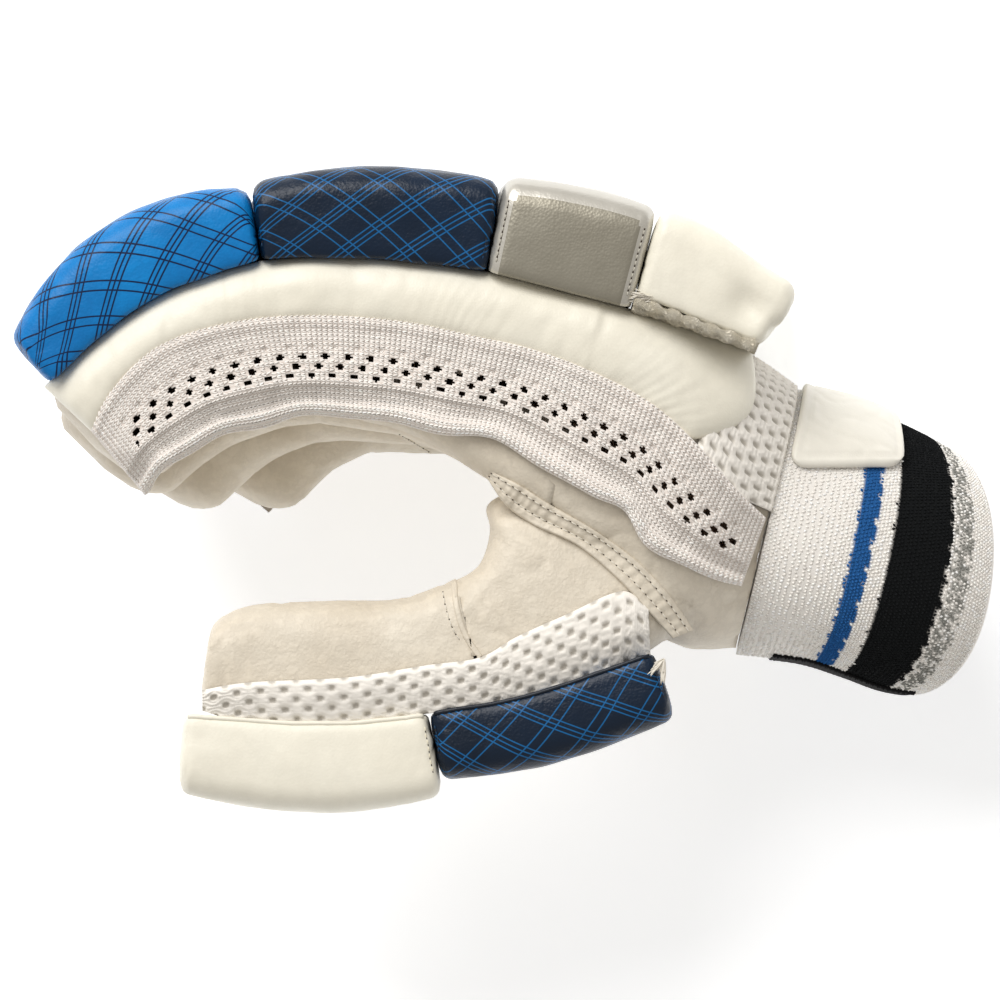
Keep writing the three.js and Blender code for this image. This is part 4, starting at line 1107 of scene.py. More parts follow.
def rollSurface(seat, spec, height, zLow, zHigh, seed, wrinkles):
    # Grid of a roll: rows run along it, columns go round it
    look = rollLook
    gap = look["seam"] / 2 / seat.toKnuckle
    shareFrom, shareTo = spec["from"] + gap, spec["to"] - gap
    start, middle, end = spec["top"]
    base0, base1 = spec.get("base", (0, 0))
    length = (seatDistance(seat, shareTo) - seatDistance(seat, shareFrom))
    u = 0.5 - 0.5 * np.cos(np.linspace(0, np.pi, look["stations"]))
    u = 0.55 * u + 0.45 * np.linspace(0, 1, look["stations"])
    rings = []
    for k, share in enumerate(u):
        fromEnd = min(share, 1 - share) * length
        radius = look["endRound"]
        inset = radius - math.sqrt(max(radius**2 - max(radius - fromEnd, 0) ** 2, 0))
        crown = 4 * share * (1 - share) * (middle - (start + end) / 2)
        top = (start + (end - start) * share + crown) * height - inset
        base = (base0 + (base1 - base0) * share) * height + 0.25 + inset * 0.35
        ring = boxRing(base - look["tuck"], top, zLow + inset * 0.8, zHigh - inset * 0.8, look["corner"],
                       look["cornerSteps"], look["flatSteps"])
        # The corners at the leather are tighter than those on top
        ring[:, 0] = np.maximum(ring[:, 0], base)
        # Each face swells a little towards its middle
        rise = np.clip((ring[:, 0] - base) / (top - base), 0, 1)
        deep = np.clip((ring[:, 1] - zLow) / (zHigh - zLow), 0, 1)
        swell = look["pillow"] * math.sin(math.pi * min(max(share, 0), 1)) ** 0.35
        side = np.where(ring[:, 1] > (zLow + zHigh) / 2, 1, -1) * np.sin(np.pi * rise) * swell
        upward = np.where(rise > 0.5, 1, 0) * np.sin(np.pi * deep) ** 0.8 * swell
        upward = upward * np.clip(2 * rise - 1, 0, 1)
        side = side * np.clip(np.abs(2 * deep - 1) * 1.6 - 0.6, 0, 1)
        ring = ring + np.stack([upward, side], -1)
        point, normal, _ = seat.at(seatDistance(seat, shareFrom) + share * length)
        rings.append(standing(point, normal, ring))
    grid = np.array(rings)
    normal = ringNormals(grid)
    walked = u[:, None] * length
    nearEnd = np.exp(-walked / 5.0) + np.exp(-(length - walked) / 5.0)
    fold = creased(grid, 5.0, 0.5, seed, (1.3, 1.3, 0.6)) * nearEnd + 0.22 * shapeNoise(grid, 9.0, seed + 3)
    grid = grid + normal * (fold * wrinkles)[..., None]
    return grid, u, length


def rollMesh(name, grid, walked, material):
    # Closed ends, and an unrolled map in millimetres for a printed pattern
    rows, sides = grid.shape[:2]
    length = walked[-1]
    around = np.linalg.norm(np.roll(grid, -1, axis=1) - grid, axis=-1)
    walkedAround = np.concatenate([np.zeros((rows, 1)), np.cumsum(around, axis=1)[:, :-1]], axis=1)
    walkedAround -= walkedAround[:, sides // 4:sides // 4 + 1]
    middle = rows // 2
    uvAround = np.repeat(walkedAround[middle][None], rows, axis=0)
    uvAlong = np.repeat(walked[:, None], sides, axis=1)
    caps, mapped = [], []
    for ring, along, uvRing in ((grid[0], -1, uvAround[0]), (grid[-1], 1, uvAround[-1])):
        centre = ring.mean(axis=0)
        push = (grid[0] - grid[1]).mean(axis=0) if along < 0 else (grid[-1] - grid[-2]).mean(axis=0)
        push /= max(np.linalg.norm(push), 1e-6)
        for share, out in ((0.66, 0.45), (0.33, 0.6)):
            caps.append(centre + (ring - centre) * share + push * out)
            edge = -6 * (1 - share) if along < 0 else length + 6 * (1 - share)
            mapped.append(np.stack([np.full(sides, edge), uvRing], -1))
        caps.append((centre + push * 0.65)[None])
        mapped.append(np.array([[-9.0 if along < 0 else length + 9.0, uvRing.mean()]]))
    points = np.concatenate([grid.reshape(-1, 3)] + caps)
    uv = np.concatenate([np.stack([uvAlong, uvAround], -1).reshape(-1, 2)] + mapped)
    k = np.arange(sides)
    n = (k + 1) % sides
    faces = gridFaces(rows, sides, closed=True).tolist()
    at = rows * sides
    for ringStart, flip in ((0, True), ((rows - 1) * sides, False)):
        previous = ringStart
        for _ in range(2):
            quad = np.stack([previous + k, previous + n, at + n, at + k], -1)
            faces += (quad[:, ::-1] if flip else quad).tolist()
            previous = at
            at += sides
        hub = at
        at += 1
        triangle = np.stack([previous + k, previous + n, np.full(sides, hub)], -1)
        faces += (triangle[:, ::-1] if flip else triangle).tolist()
    piece = fixNormals(addMesh(name, points, faces, material, uv=uv))
    mapEnds(piece, grid)
    return piece


def mapEnds(piece, grid):
    # The pattern runs straight over each closed end
    layer = piece.data.uv_layers.active.data
    for end, beside in ((grid[0], grid[1]), (grid[-1], grid[-2])):
        centre = end.mean(axis=0)
        push = centre - beside.mean(axis=0)
        push /= np.linalg.norm(push)
        for face in piece.data.polygons:
            middle = np.array(face.center) / mm - centre
            if max(face.vertices) >= grid.shape[0] * grid.shape[1] and abs(middle @ push) < 3:
                for corner in face.loop_indices:
                    away = np.array(piece.data.vertices[piece.data.loops[corner].vertex_index].co) / mm - centre
                    layer[corner].uv = ((away[1] * push[0] - away[0] * push[1]), away[2])


rollSpecs = {
    "tip_roll": {"from": 0.0, "to": 0.417, "top": (0.62, 0.93, 0.80), "skin": azureSkin, "slot": "azure_leather",
                 "name": "tip roll"},
    "middle_roll": {"from": 0.417, "to": 0.796, "top": (0.84, 0.98, 0.98), "skin": navySkin, "slot": "navy_leather",
                    "name": "middle roll"},
    "base_roll": {"from": 0.796, "to": 1.047, "top": (1.04, 1.14, 1.12), "skin": silverSkin, "slot": "silver_leather",
                  "name": "base roll"},
    "knuckle_block": {"from": 1.047, "to": 1.275, "top": (1.12, 1.03, 0.72), "base": (0.15, 0.07), "skin": creamSkin,
                      "slot": "cream_leather", "name": "knuckle block"},
}


def rollDepth(name):
    # The outer fingers' rolls also cover the edge of the strip beside them
    floor = bandFloor(fingers[name])
    low, high = floor, floor + glove["fingerWidth"]
    if name == "little":
        low = 0.0
    if name == "index":
        high = handRoof + glove["sidePad"] + glove["fit"]
    return low, high


def faceShares():
    # For each column of a roll: its share of the rise and of the width, before it was shaped
    size = glove["rollHeight"]
    ring = boxRing(0, size, 0, size, rollLook["corner"], rollLook["cornerSteps"], rollLook["flatSteps"])
    return ring[:, 0] / size, ring[:, 1] / size


def pinched(grid, u, seat, near):
    # The last corner of a knuckle block is pulled out to a point, with a soft hollow before it
    rise, deep = faceShares()
    side = deep if near else 1 - deep
    _, normal, tangent = seat.at(seatDistance(seat, 1.27))
    pull = np.exp(-((1 - u[:, None]) / 0.16) ** 2) * np.exp(-((1 - rise[None]) / 0.42) ** 2)
    grid = grid.copy()
    grid[..., :2] += pull[..., None] * (3.6 * tangent + 1.6 * normal)
    hollow = np.exp(-((u[:, None] - 0.80) / 0.13) ** 2 - ((rise[None] - 0.52) / 0.22) ** 2)
    grid[..., 2] -= hollow * np.clip(side * 6 - 5, 0, 1) * 2.0 * (1 if near else -1)
    slope = np.clip((u[:, None] - 0.35) / 0.65, 0, 1) ** 2 * np.clip(side * 4 - 3, 0, 1)
    grid[..., 2] -= slope * 1.2 * (1 - rise[None]) * (1 if near else -1)
    return grid


panelLook = {"from": 0.07, "to": 0.93, "low": 0.04, "high": 0.80, "face": 0.93, "raise": 0.55}


def panelMask(u, rise, deep, near=True):
    look = panelLook
    step = lambda value, edge, soft: 1 / (1 + np.exp(-(value - edge) / soft))
    side = deep if near else 1 - deep
    along = step(u, look["from"], 0.006) * step(-u, -look["to"], 0.006)
    across = step(rise, look["low"], 0.02) * step(-rise, -look["high"], 0.02) * step(side, look["face"], 0.01)
    return along[:, None] * across[None]


def panelled(grid, u):
    # A base roll carries a raised pebbled panel on its outer faces
    rise, deep = faceShares()
    grid = grid.copy()
    grid[..., 2] += panelLook["raise"] * (panelMask(u, rise, deep) - panelMask(u, rise, deep, False))
    return grid


def paintPanels(piece):
    # The faces of the panels take the pebbled leather, a much darker silver: partly its own matt grain, partly painted
    # shade beside the lighter frame
    piece.data.materials.append(pebbleShadeSkin)
    rows, sides = rollLook["stations"], len(faceShares()[0])
    rise, deep = faceShares()
    u = np.linspace(0, 1, rows)
    u = 0.55 * (0.5 - 0.5 * np.cos(np.pi * u)) + 0.45 * u
    mask = panelMask(u, rise, deep) + panelMask(u, rise, deep, False)
    for face in piece.data.polygons:
        k = [v for v in face.vertices if v < rows * sides]
        if len(k) == 4 and np.mean([mask[v // sides, v % sides] for v in k]) > 0.5:
            face.material_index = 1


rollGrids = {}
for number, (name, finger) in enumerate(fingers.items()):
    zLow, zHigh = rollDepth(name)
    for part, spec in rollSpecs.items():
        strength = 0.5 if part in ("knuckle_block", "base_roll") else 1.0
        if part == "tip_roll" and name != "index":
            spec = dict(spec, **{"from": 0.04, "top": (0.50, 0.93, 0.80)})
        grid, u, length = rollSurface(seats[name], spec, glove["rollHeight"], zLow, zHigh,
                                      seed=number * 4.1 + len(part), wrinkles=strength)
        if part == "knuckle_block":
            grid = pinched(grid, u, seats[name], name != "little")
        if part == "base_roll":
            grid = panelled(grid, u)
        grid[..., 2] = np.maximum(grid[..., 2], 0.0)
        rollGrids[name, part] = grid, length
        piece = rollMesh(f"{name} {spec['name']} cover", grid, u * float(length), spec["skin"])
        if part == "base_roll":
            paintPanels(piece)
        settle(piece, [f"{name}_{part}"], spec["slot"])

thumbRollSpecs = {
    "thumb_tip_roll": {"from": -0.035, "to": 0.478, "top": (0.92, 1.04, 0.98), "skin": creamSkin,
                       "slot": "cream_leather", "name": "thumb tip roll"},
    "thumb_base_roll": {"from": 0.478, "to": 0.965, "top": (0.80, 0.84, 0.82), "skin": navySkin,
                        "slot": "navy_leather", "name": "thumb base roll"},
}
thumbRoof = handRoof - glove["thumbSink"]
for part, spec in thumbRollSpecs.items():
    grid, u, length = rollSurface(thumbSeat, spec, glove["thumbRollHeight"], thumbRoof - glove["thumbWidth"],
                                  thumbRoof, seed=31.0 + len(part), wrinkles=0.8)
    rollGrids[part] = grid, length
    piece = rollMesh(spec["name"] + " cover", grid, u * float(length), spec["skin"])
    settle(piece, [part], spec["slot"])
print("rolls done")


# Knit gussets on the two outer sides

gussetLook = {
    "along": {"index": 400, "little": 230}, "across": {"index": 52, "little": 44},
    "wales": 23, "course": {"index": 1.22, "little": 2.0},
    "holePitch": 5.5, "holeLong": 1.38, "holeTall": 1.0,
    "rows": ((0.405, 0.0), (0.50, 0.64), (0.59, 0.30)), "pits": (0.315, 0.42), "closedStart": 7.0, "closedEnd": 5.0,
}


def gussetHeight(across, along):
    # Thickness over the glove: full at the seam, lower past the open rows, and a thick rolled hem
    table = ((0, 2.9), (0.025, 3.6), (0.07, 3.7), (0.14, 3.1), (0.30, 2.7), (0.50, 2.9), (0.655, 3.1), (0.70, 2.0),
             (0.80, 1.3), (0.845, 1.9), (0.875, 3.7), (0.92, 4.4), (0.97, 4.0), (1.0, 1.6))
    table = np.array(table)
    height = np.interp(across, table[:, 0], table[:, 1])
    ends = np.sqrt(np.maximum(1 - np.clip(1 - np.minimum(along, 1 - along) / 0.012, 0, 1) ** 2, 0)) * 0.6 + 0.4
    return height * ends


class Patch:
    # A smooth surface from a grid of points, read at any place by its two shares
    def __init__(self, grid, outward):
        self.grid = grid
        normal = sheetNormals(grid)
        if np.sum(normal * outward) < 0:
            normal = -normal
        self.normal = normal

    def read(self, values, a, b):
        rows, columns = self.grid.shape[:2]
        x, y = np.clip(a, 0, 1) * (rows - 1), np.clip(b, 0, 1) * (columns - 1)
        i, j = np.minimum(x.astype(int), rows - 2), np.minimum(y.astype(int), columns - 2)
        x, y = (x - i)[..., None], (y - j)[..., None]
        near = values[i, j] * (1 - y) + values[i, j + 1] * y
        far = values[i + 1, j] * (1 - y) + values[i + 1, j + 1] * y
        return near * (1 - x) + far * x

    def at(self, a, b):
        return self.read(self.grid, a, b), self.read(self.normal, a, b)

    def along(self, a, b, step=0.004):
        return self.read(self.grid, a + step, b) - self.read(self.grid, a - step, b)

    def across(self, a, b, step=0.01):
        return self.read(self.grid, a, b + step) - self.read(self.grid, a, b - step)


# White of the knit, and the painted shade it takes between its wales
knitWhite = np.array((0.98, 0.945, 0.91))
knitShade = np.array((0.72, 0.65, 0.60))


def holeDistance(walked, across, width):
    # How far a place is from the middle of the nearest hole, as a share of the hole's size
    look = gussetLook
    found = np.full(np.broadcast(walked, across).shape, 9.0)
    for row, shift in look["rows"]:
        step = (walked / look["holePitch"] - shift + 0.5) % 1.0 - 0.5
        reach = np.hypot(step * look["holePitch"] / look["holeLong"], (across - row) * width / look["holeTall"])
        found = np.minimum(found, reach)
    return found


def makeGusset(side):
    look = gussetLook
    near = side == "index"
    outward = np.array((0, 0, 1.0 if near else -1.0))
    finger = fingers[side]
    along, across = np.linspace(0, 1, look["along"][side]), np.linspace(0, 1, look["across"][side])
    flat = sideGrid(finger, along, across, "seam", "hem")
    # The hem waves a little, and comes to a point at the tip end
    share = along / along[-1]
    wave = 0.7 * np.sin(share * 31) + 0.5 * np.sin(share * 53 + 1.0)
    span = flat[:, -1] - flat[:, 0]
    width = np.linalg.norm(span, axis=-1)
    span /= width[:, None]
    flat = flat + span[:, None] * (wave[:, None] * across[None] ** 3)[..., None]
    inner = layOn(flat, near, 0.35, steepest=0.9)
    outer = inner + outward * (gussetHeight(across[None], share[:, None]))[..., None]
    outer = outer + outward * (0.25 * shapeNoise(outer, 12.0, 6.0))[..., None]
    outer[..., 2] = np.maximum(outer[..., 2], 0.35)
    walked = walkedAlong(flat[:, len(across) // 2])
    length = walked[-1]
    isOpen = lambda place: (place > look["closedStart"]) & (place < length - look["closedEnd"])
    inZone = isOpen(walked)
    holes = holeDistance(walked[:, None], across[None], width[:, None]) < 1.0
    holes &= inZone[:, None]
    cells = holes[:-1, :-1] & holes[1:, :-1] & holes[:-1, 1:] & holes[1:, 1:]
    pitShare, pitShift = look["pits"]
    step = (walked[:, None] / look["holePitch"] - pitShift + 0.5) % 1.0 - 0.5
    offRow = (across[None] - pitShare) * width[:, None]
    pits = np.exp(-((step * look["holePitch"] / 0.8) ** 2 + (offRow / 0.7) ** 2))
    lowered = outer - outward * (0.8 * pits * inZone[:, None])[..., None]
    # Ribs: one for each wale, lower between them, where the tint also carries a painted shade
    rib = 0.5 + 0.5 * np.cos(2 * np.pi * across * look["wales"])
    ribbed = lowered - outward * (0.28 * (1 - rib))[None, :, None]
    ribbed[..., 2] = np.maximum(ribbed[..., 2], 0.0)
    points, faces = closedSheet(inner + outward * 0.2, ribbed, cells)
    shade = knitShade + (knitWhite - knitShade) * (0.05 + 0.6 * rib**2)[None, :, None]
    shade = np.repeat(shade, len(along), axis=0)
    # The underside and the walls of the open rows take a darker tint: painted shade in the holes
    tint = np.concatenate([shade.reshape(-1, 3) * 0.6, shade.reshape(-1, 3)])
    points, faces, used = dropLoose(points, faces)
    piece = addMesh(f"{side} knit side", points, faces, sideYarn, tint=tint[used])
    fixNormals(piece)
    settle(piece, [f"{side}_gusset"], "side_knit")
    # Stitches: two leaves each, in rows that run along the band
    surface = Patch(lowered, outward)
    course = look["course"][side]
    count = int(length / course)
    s, w = np.meshgrid((np.arange(count) + 0.5) / count, np.arange(look["wales"]), indexing="ij")
    s, w = s.ravel(), w.ravel()
    a = (w + 0.5) / look["wales"]
    s = np.interp(s, walked / length, share)
    places, alongs, ups, lengths, colours = [], [], [], [], []
    for leaf in (-1, 1):
        place = a + leaf * 0.19 / look["wales"]
        wide = np.interp(s, share, width)
        run = np.interp(s, share, walked)
        ok = (holeDistance(run, place, wide) > 1.16) | ~isOpen(run)
        spot, up = surface.at(s, place)
        forward, sideways = unit(surface.along(s, place)), unit(surface.across(s, place))
        lean = forward + sideways * (0.36 * leaf) + 0.1 * rng.standard_normal((len(s), 1)) * sideways
        places.append(spot[ok] + up[ok] * 0.02)
        alongs.append(lean[ok])
        ups.append(up[ok])
        lengths.append(np.full(ok.sum(), course * 1.25) * rng.uniform(0.9, 1.12, ok.sum()))
        # Stitches on the rolled hem are painted a little lighter: a painted highlight
        bright = 0.92 + 0.08 * np.clip((place[ok] - 0.84) * 20, 0, 1) + 0.05 * rng.standard_normal(ok.sum())
        colours.append(np.clip(knitWhite[None] * bright[:, None], 0, 0.98))
    places, alongs, ups = np.concatenate(places), np.concatenate(alongs), np.concatenate(ups)
    lengths, colours = np.concatenate(lengths), np.concatenate(colours)
    places[:, 2] = np.maximum(places[:, 2], 0.35)
    points, faces, each = beads(places, ups, alongs, lengths, np.full(len(places), 0.50), np.full(len(places), 0.62),
                                rings=((-0.55, 0.8), (0.5, 0.85)), sides=4)
    points[:, 2] = np.maximum(points[:, 2], 0.0)
    stitches = addMesh(f"{side} knit stitches", points, faces, sideYarn, tint=np.repeat(colours, each, axis=0))
    settle(stitches, [], "side_knit")


makeGusset("index")
makeGusset("little")
print("knit sides done")


# Knit cuff

cuffLook = {
    "stations": 50, "sides": 160, "wall": 2.6, "round": 1.3, "rows": 56, "around": 224,
    "white": (0.96, 0.93, 0.89), "blue": (0.025, 0.125, 0.36), "black": (0.010, 0.011, 0.012),
    "grey": (0.30, 0.30, 0.28),
    "blueFrom": 0.295, "blueTo": 0.39, "blackFrom": 0.48, "blackTo": 0.735, "greyFrom": 0.755, "greyTo": 0.85,
}


def cuffTint(t, turn):
    # The stripes: stitch by stitch, with stepped edges
    look = cuffLook
    step = 1.0 / look["rows"]
    jitter = step * (0.3 * np.sin(turn * 37.0) + 0.16 * np.sign(np.sin(turn * 67.0 + 2.0)))
    place = t + jitter
    result = np.repeat(np.array(look["white"])[None], t.size, axis=0).reshape(*t.shape, 3)
    speck = rng.uniform(0, 1, t.shape)
    for name in ("blue", "black"):
        chosen = (place > look[name + "From"]) & (place < look[name + "To"])
        result[chosen] = look[name]
    chosen = (place > look["greyFrom"]) & (place < look["greyTo"]) & (speck < 0.55)
    result[chosen] = look["grey"]
    return result


def makeCuff():
    look = cuffLook
    t = np.linspace(0, 1, look["stations"])
    outer = cuffRings(t, look["sides"])
    normal = ringNormals(outer)
    bulge = 0.45 * shapeNoise(outer, 24.0, 8.8) + 0.9 * np.sin(np.pi * t[:, None]) ** 2
    outer = outer + normal * bulge[..., None]
    wall = look["wall"]
    inner = outer - normal * wall
    axis = unit(outer[-1] - outer[-2])
    rim = []
    for angle in np.radians((25, 55, 90, 125, 155)):
        middle = (outer[-1] + inner[-1]) / 2
        rim.append(middle + normal[-1] * wall / 2 * math.cos(angle) + axis * look["round"] * math.sin(angle))
    grid = np.concatenate([outer, np.array(rim), inner[::-1]])
    grid[..., 2] = np.maximum(grid[..., 2], 0.3)
    turn = np.linspace(0, 2 * np.pi, look["sides"], endpoint=False)
    # The knit's own surface is painted a little darker than its stitches, as shade between them, and its inside darker
    # still, as painted shade inside the cuff
    tint = cuffTint(*np.broadcast_arrays(t[:, None], turn[None])) * 0.9
    white = np.repeat(np.array(look["white"])[None, None], look["sides"], axis=1)
    tint = np.concatenate([tint, np.repeat(white, 5, axis=0), np.repeat(white * 0.7, len(t), axis=0)])
    faces = gridFaces(len(grid), look["sides"], closed=True)
    k = np.arange(look["sides"])
    n = (k + 1) % look["sides"]
    last = (len(grid) - 1) * look["sides"]
    faces = np.concatenate([faces, np.stack([k, last + k, last + n, n], -1)])
    piece = addMesh("knit cuff", grid, faces, cuffYarn, tint=tint)
    fixNormals(piece)
    settle(piece, ["cuff"], "cuff_knit")
    ringed = np.concatenate([outer, outer[:, :1]], axis=1)
    surface = Patch(ringed, np.concatenate([normal, normal[:, :1]], axis=1))
    rows, around = look["rows"], look["around"]
    i, j = np.meshgrid(np.arange(rows), np.arange(around), indexing="ij")
    a = ((i + 0.5) / rows).ravel() + 0.12 / rows * rng.standard_normal(rows * around)
    b = (((j + 0.5 * (i % 2) + 0.25) / around) % 1.0).ravel()
    place, up = surface.at(a, b)
    forward, lean = unit(surface.along(a, b, 0.01)), unit(surface.across(a, b, 0.004))
    slant = np.where((j % 2).ravel() > 0, 0.55, -0.55) + 0.25 * rng.standard_normal(rows * around)
    colour = cuffTint(a, b * 2 * np.pi)
    colour = np.clip(colour * (1.0 + 0.07 * rng.standard_normal((len(a), 1))), 0.004, 0.95)
    size = np.full(len(a), 1.15) * rng.uniform(0.85, 1.15, len(a))
    points, faces, each = beads(place + up * 0.05, up, forward + lean * slant[:, None], size, size * 0.62, size * 0.55,
                                rings=((0.0, 1.0),), sides=4)
    points[:, 2] = np.maximum(points[:, 2], 0.0)
    stitches = addMesh("cuff stitches", points, faces, cuffYarn, tint=np.repeat(colour, each, axis=0))
    settle(stitches, [], "cuff_knit")
    return surface


cuffSurface = makeCuff()
print("cuff done")


# Bare wrist strap round the back of the cuff, and the black elastic under it

# From and to are shares of the cuff's length; turns are in degrees from its back
strapLook = {
    "from": 0.03, "to": 0.485, "turnFrom": -115.7, "tabRise": 0.537, "lift": 0.7, "thick": 1.6, "corner": 5.0,
    "stations": 42, "columns": 112,
}


def turnAtRise(a, rise):
    # How far round the near side the cuff's surface comes down to a height of the side view
    b = np.linspace(0, 0.4, 161)
    grid = cuffSurface.at(*np.meshgrid(a, b, indexing="ij"))[0]
    target = plane(0, rise)[1]
    return np.array([np.interp(-target, -line[:, 1], b) for line in grid])


def makeStrap():
    look = strapLook
    rows, columns = look["stations"], look["columns"]
    a, b = np.meshgrid(np.linspace(look["from"], look["to"], rows), np.linspace(0, 1, columns), indexing="ij")
    b = look["turnFrom"] / 360 * (1 - b) + turnAtRise(a[:, 0], look["tabRise"])[:, None] * b
    place, up = cuffSurface.at(a, b % 1.0)
    # Distances from the borders, for rounded corners and thin edges
    lengthways = np.linalg.norm(np.diff(place, axis=0), axis=-1)
    sideways = np.linalg.norm(np.diff(place, axis=1), axis=-1)
    run = np.concatenate([np.zeros((1, columns)), np.cumsum(lengthways, axis=0)])
    side = np.concatenate([np.zeros((rows, 1)), np.cumsum(sideways, axis=1)], axis=1)
    fromStart, fromEnd = run, run[-1:] - run
    fromTab = side[:, -1:] - side
    corner = look["corner"]
    nearest = np.minimum(np.minimum(fromStart, fromEnd), np.minimum(fromTab, side))
    # Points near the tab's corners slide in to make them round
    for reach in (fromStart, fromEnd):
        dx, dy = np.clip(corner - reach, 0, None), np.clip(corner - fromTab, 0, None)
        over = np.hypot(dx, dy)
        slide = np.where(over > corner, (over - corner) / np.maximum(over, 1e-6), 0)
        shiftA = np.where(reach is fromStart, 1, -1) * dx * slide
        unitA, unitB = unit(np.gradient(place, axis=0)), unit(np.gradient(place, axis=1))
        place = place + unitA * shiftA[..., None] - unitB * (dy * slide)[..., None]
    crease = creased(place, 7.0, 0.28, 12.0) * 0.8 + 0.25 * shapeNoise(place, 14.0, 3.3)
    weld = -0.3 * np.exp(-((nearest - 2.6) / 0.35) ** 2)
    edge = np.sqrt(np.clip(1 - np.clip(1 - nearest / 0.9, 0, 1) ** 2, 0, 1))
    thick = look["thick"] * (0.45 + 0.55 * edge) + weld + crease * np.clip(nearest / 3, 0, 1)
    inner = place + up * look["lift"]
    outer = place + up * (look["lift"] + thick)[..., None]
    inner[..., 2] = np.maximum(inner[..., 2], 0.2)
    outer[..., 2] = np.maximum(outer[..., 2], 0.1)
    points, faces = closedSheet(inner, outer)
    piece = fixNormals(addMesh("wrist strap tab", points, faces, strapSkin))
    settle(piece, ["wrist_strap"], "strap_leather")


makeStrap()


elasticLook = {
    "from": 0.14, "to": 0.90, "turnFrom": 167.1, "turnTo": 192.9, "thick": 0.75, "ribs": 62, "rib": 0.12,
    "notch": 0.35, "stations": 150, "columns": 22, "black": (0.012, 0.012, 0.013),
}


def makeElastic():
    look = elasticLook
    rows, columns = look["stations"], look["columns"]
    a, b = np.meshgrid(np.linspace(look["from"], look["to"], rows),
                       np.linspace(look["turnFrom"], look["turnTo"], columns) / 360, indexing="ij")
    place, up = cuffSurface.at(a, b % 1.0)
    wave = np.sin(np.linspace(0, 1, rows)[:, None] * 2 * np.pi * look["ribs"])
    notch = look["notch"] * np.maximum(wave, 0) * (np.abs(np.linspace(-1, 1, columns)) > 0.88)
    inner = place + up * 0.05
    outer = place + up * (look["thick"] + look["rib"] * wave + notch)[..., None]
    points, faces = closedSheet(inner, outer)
    tint = np.repeat(np.array([look["black"]]), len(points), axis=0)
    piece = fixNormals(addMesh("wrist elastic band", points, faces, blackWeave, tint=tint))
    settle(piece, ["wrist_elastic"], "black_elastic")
    run = float(np.linalg.norm(np.diff(place[:, 10], axis=0), axis=-1).sum())
    wide = float(np.linalg.norm(np.diff(place[40], axis=0), axis=-1).sum())


makeElastic()
print("strap and elastic done")


# Air mesh on the back of the hand and along the thumb

meshLook = {"pitch": 5.9, "row": 2.45, "pit": 0.57, "deep": 0.9, "thick": 2.0, "under": 2.0}
# White of the mesh, and the painted shade of its pits
meshWhite, meshPitShade = np.array((0.93, 0.895, 0.84)), np.array((0.55, 0.52, 0.47))


def pitPattern(walked, sideways, look=meshLook):
    # 1 in the staggered pits and 0 on the wavy ribs between them, then the height of the ribs' yarns
    x, y = 2 * np.pi * walked / look["pitch"], np.pi * sideways / look["row"]
    pits = 1 / (1 + np.exp(-(np.cos(x) * np.cos(y) - look["pit"]) / 0.07))
    waved = sideways - 0.30 * look["row"] * np.cos(x) * np.sin(y)
    return pits, np.cos(4 * np.pi * waved / look["row"])


def meshSheet(name, place, up, walked, sideways, nodes, look=meshLook, keep=None):
    pits, yarns = pitPattern(walked, sideways, look)
    ripple = (0.16 * yarns + 0.05 * np.sin(walked * 2 * np.pi / 0.6)) * (1 - pits)
    thick = look["thick"] - look["deep"] * pits + ripple
    edge = np.minimum(1, 0.45 + 0.55 * np.minimum(sideways - sideways.min(), sideways.max() - sideways) / 1.0)
    outer = place + up * (0.3 + thick * edge)[..., None]
    inner = place + up * 0.25
    floorOf = lambda part: np.concatenate([part[..., :2], np.maximum(part[..., 2:], 0.1)], axis=-1)
    hole = None
    if keep is not None:
        hole = ~(keep[:-1, :-1] & keep[1:, :-1] & keep[:-1, 1:] & keep[1:, 1:])
    points, faces = closedSheet(floorOf(inner), floorOf(outer), hole)
    # Pits take the painted shade, and the underside and edges a darker white, painted shade as well
    tint = meshWhite * (1 - pits[..., None]) + meshPitShade * pits[..., None]
    tint = np.concatenate([np.repeat(meshWhite[None], pits.size, axis=0) * 0.6, tint.reshape(-1, 3)])
    points, faces, used = dropLoose(points, faces)
    piece = fixNormals(addMesh(name, points, faces, meshYarn, tint=tint[used]))
    settle(piece, nodes, "air_mesh")


def makeBackMesh():
    stations, columns = 80, 280
    t = np.linspace(0.5, 1.0, stations)
    turns = np.linspace(-87, 87, columns)
    place = handRings(t, 0, turns=turns)
    up = sheetNormals(place)
    middle = columns // 2
    if up[:, middle, 1].sum() < 0:
        up = -up
    run, wide = walkedAlong(place[:, middle]), walkedAlong(place[stations // 2])
    walked, sideways = np.meshgrid(run, wide, indexing="ij")
    keep = np.ones((stations, columns), bool)
    for side, sign in (("index", 1), ("little", -1)):
        covered = inside(place, bandOutline(fingers[side], 0.10, 0.98, 0.0, 0.985))
        keep &= ~(covered & ((place[..., 2] - (handFloor + handRoof) / 2) * sign > 0))
    look = dict(meshLook, pitch=3.6, row=3.0, pit=0.50, deep=0.8)
    meshSheet("back mesh panel", place, up, sideways, walked, ["back_mesh"],
              look, keep)


def between(high, low, across):
    # A grid of side-view points from one line to another
    return high[:, None] * (1 - across)[None, :, None] + low[:, None] * across[None, :, None]


